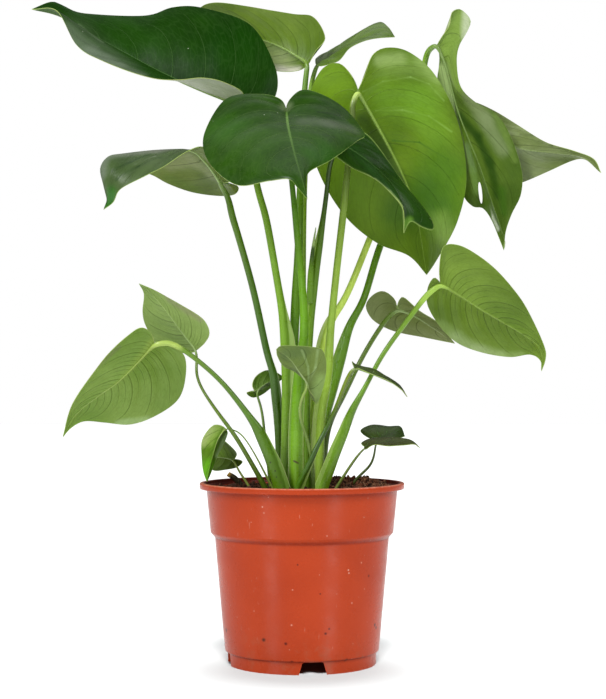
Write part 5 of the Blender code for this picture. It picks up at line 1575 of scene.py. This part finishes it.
def upper_finish(name, look, veins):
    """The satin upper side: deep green, fine pale veins, a lighter line along the rib and the margin."""
    leaf = start_side(name, look, "upper", 0.3, look.get("shine", 0.32), 22.0)
    line, _, band, fine, net, down = vein_pattern(leaf, veins)
    place = leaf.place()
    paler = leaf.toned(1.22, 0.94)
    grain = look.get("grain", 0.2)
    leaf.paint(paler, fine, leaf.fade(band, 0.0, 0.5, 0.4 * grain, grain))
    leaf.paint(paler, leaf.cloud(place, 420.0, 0.5, 0.7, 0.0, 0.35, roughness=0.7))
    vein_colour = srgb(*look.get("vein", (96, 138, 72)))
    leaf.paint(vein_colour, net, look.get("net", 0.05))
    # Painted shade: darker along the sunk side veins, fading out midway between them
    leaf.paint(leaf.toned(0.7), leaf.fade(band, 0.1, 0.9, look.get("vein_shade", 0.3), 0.0))
    leaf.paint(vein_colour, line, look.get("vein_strength", 0.25))
    rib = leaf.fade(leaf.value("rib_line"), 0.55, 1.15, 1.0, 0.0)
    rib = leaf.product(rib, leaf.fade(down, 0.2, 0.9, 0.6, 0.15))
    leaf.paint(vein_colour, rib)
    leaf.paint(EDGE_PALE, leaf.fade(leaf.value("from_edge"), 0.1, look.get("margin", 0.6), 0.6, 0.0))
    leaf.paint(SPECK_PALE, leaf.flecks(place, 120.0, 0.055, 0.03, 55.0, 0.58, 0.62))
    leaf.roughness(leaf.cloud(place, 75.0, 0.3, 0.7, 0.24, 0.38, 4.0, 0.65))
    sunk = leaf.product(leaf.reckon("MAXIMUM", line, rib), -0.8)
    raise_skin(leaf, place, leaf.reckon("MULTIPLY_ADD", fine, 0.8 * grain, sunk), 0.4)
    return leaf.done()


def under_finish(name, look, veins):
    """The matte underside: lighter green with fine darker side veins that stand a little proud."""
    leaf = start_side(name, look, "under", 0.45, look.get("under_shine", 0.25), 20.0)
    line, thin, band, fine, net, down = vein_pattern(leaf, veins)
    place = leaf.place()
    deeper, darkest = leaf.toned(0.8, 1.05), leaf.toned(0.55, 1.1)
    pale = srgb(*look.get("rib", (150, 176, 100)))
    leaf.paint(deeper, fine, leaf.fade(band, 0.0, 0.5, 0.12, 0.3))
    leaf.paint(deeper, leaf.cloud(place, 420.0, 0.5, 0.7, 0.0, 0.3, roughness=0.7))
    leaf.paint(darkest, net, look.get("net", 0.2))
    pale_until = look.get("pale_veins", 0.3)
    vein_colour = leaf.blend(leaf.fade(down, 0.3 * pale_until, pale_until, 0.7, 0.0), darkest, pale)
    lines = leaf.reckon("MAXIMUM", line, leaf.product(thin, look.get("thin_veins", 0.4)))
    leaf.paint(vein_colour, lines, look.get("under_vein", 0.7))
    rib = leaf.fade(leaf.value("rib_line"), 0.9, 1.8, 0.5, 0.0)
    leaf.paint(pale, rib, leaf.fade(down, 0.3, 0.9, 1.0, 0.3))
    leaf.paint(EDGE_PALE, leaf.fade(leaf.value("from_edge"), 0.1, 0.6, 0.55, 0.0))
    leaf.roughness(leaf.cloud(place, 75.0, 0.3, 0.7, 0.34, 0.5, 4.0, 0.65))
    raise_skin(leaf, place, leaf.reckon("MULTIPLY_ADD", fine, -0.14, lines), 0.35)
    return leaf.done()


def stub_finish():
    stub = Finish("dry_stalk", 0.75, 0.35)
    lines = stub.mottle(stub.place((1.0, 1.0, 0.08), (0.0, 0.8, 0.0)), 1100.0, 3.0, 0.7)
    stub.tone = stub.blend(stub.fade(stub.sheet_place()[1], 0.84, 0.95), STUB_DARK, STUB_TAN)
    stub.paint(STUB_PALE, stub.fade(lines, 0.5, 0.72, 0.0, 0.4))
    stub.relief(lines, 0.5)
    return stub.done()


def make_dry_stub():
    rings = evenly(smooth_path(rooted(DRY_STUB)), STUB_RINGS)
    for number, ring in enumerate(rings):
        ring[3] *= 1.0 + 0.1 * noise.noise(Vector((number * 0.4, 0.0, 2.0)))
    rings = np.vstack([rings, rings[-1]])
    rings[-1][:3] -= unit(rings[-1][:3] - rings[-4][:3]) * 0.8
    dress(make_tube("dry_stub", rings, 24), 45.0, stub_finish(), "dry_stalk", "dry_stub")


def main():
    margin = plain_finish("leaf_margin", 0.5, 0.4, 40.0, 0.3, 0.7, (EDGE_PALE, EDGE_TAN), 800.0, 0.1)
    pot = make_pot()
    soil = make_soil()
    make_dry_stub()
    for name, leaf in LEAVES.items():
        make_stalk(name, leaf, LOOKS[name])
        make_blade(name, leaf, LOOKS[name], margin)
    make_studio(pot, soil)
    make_camera()


main()
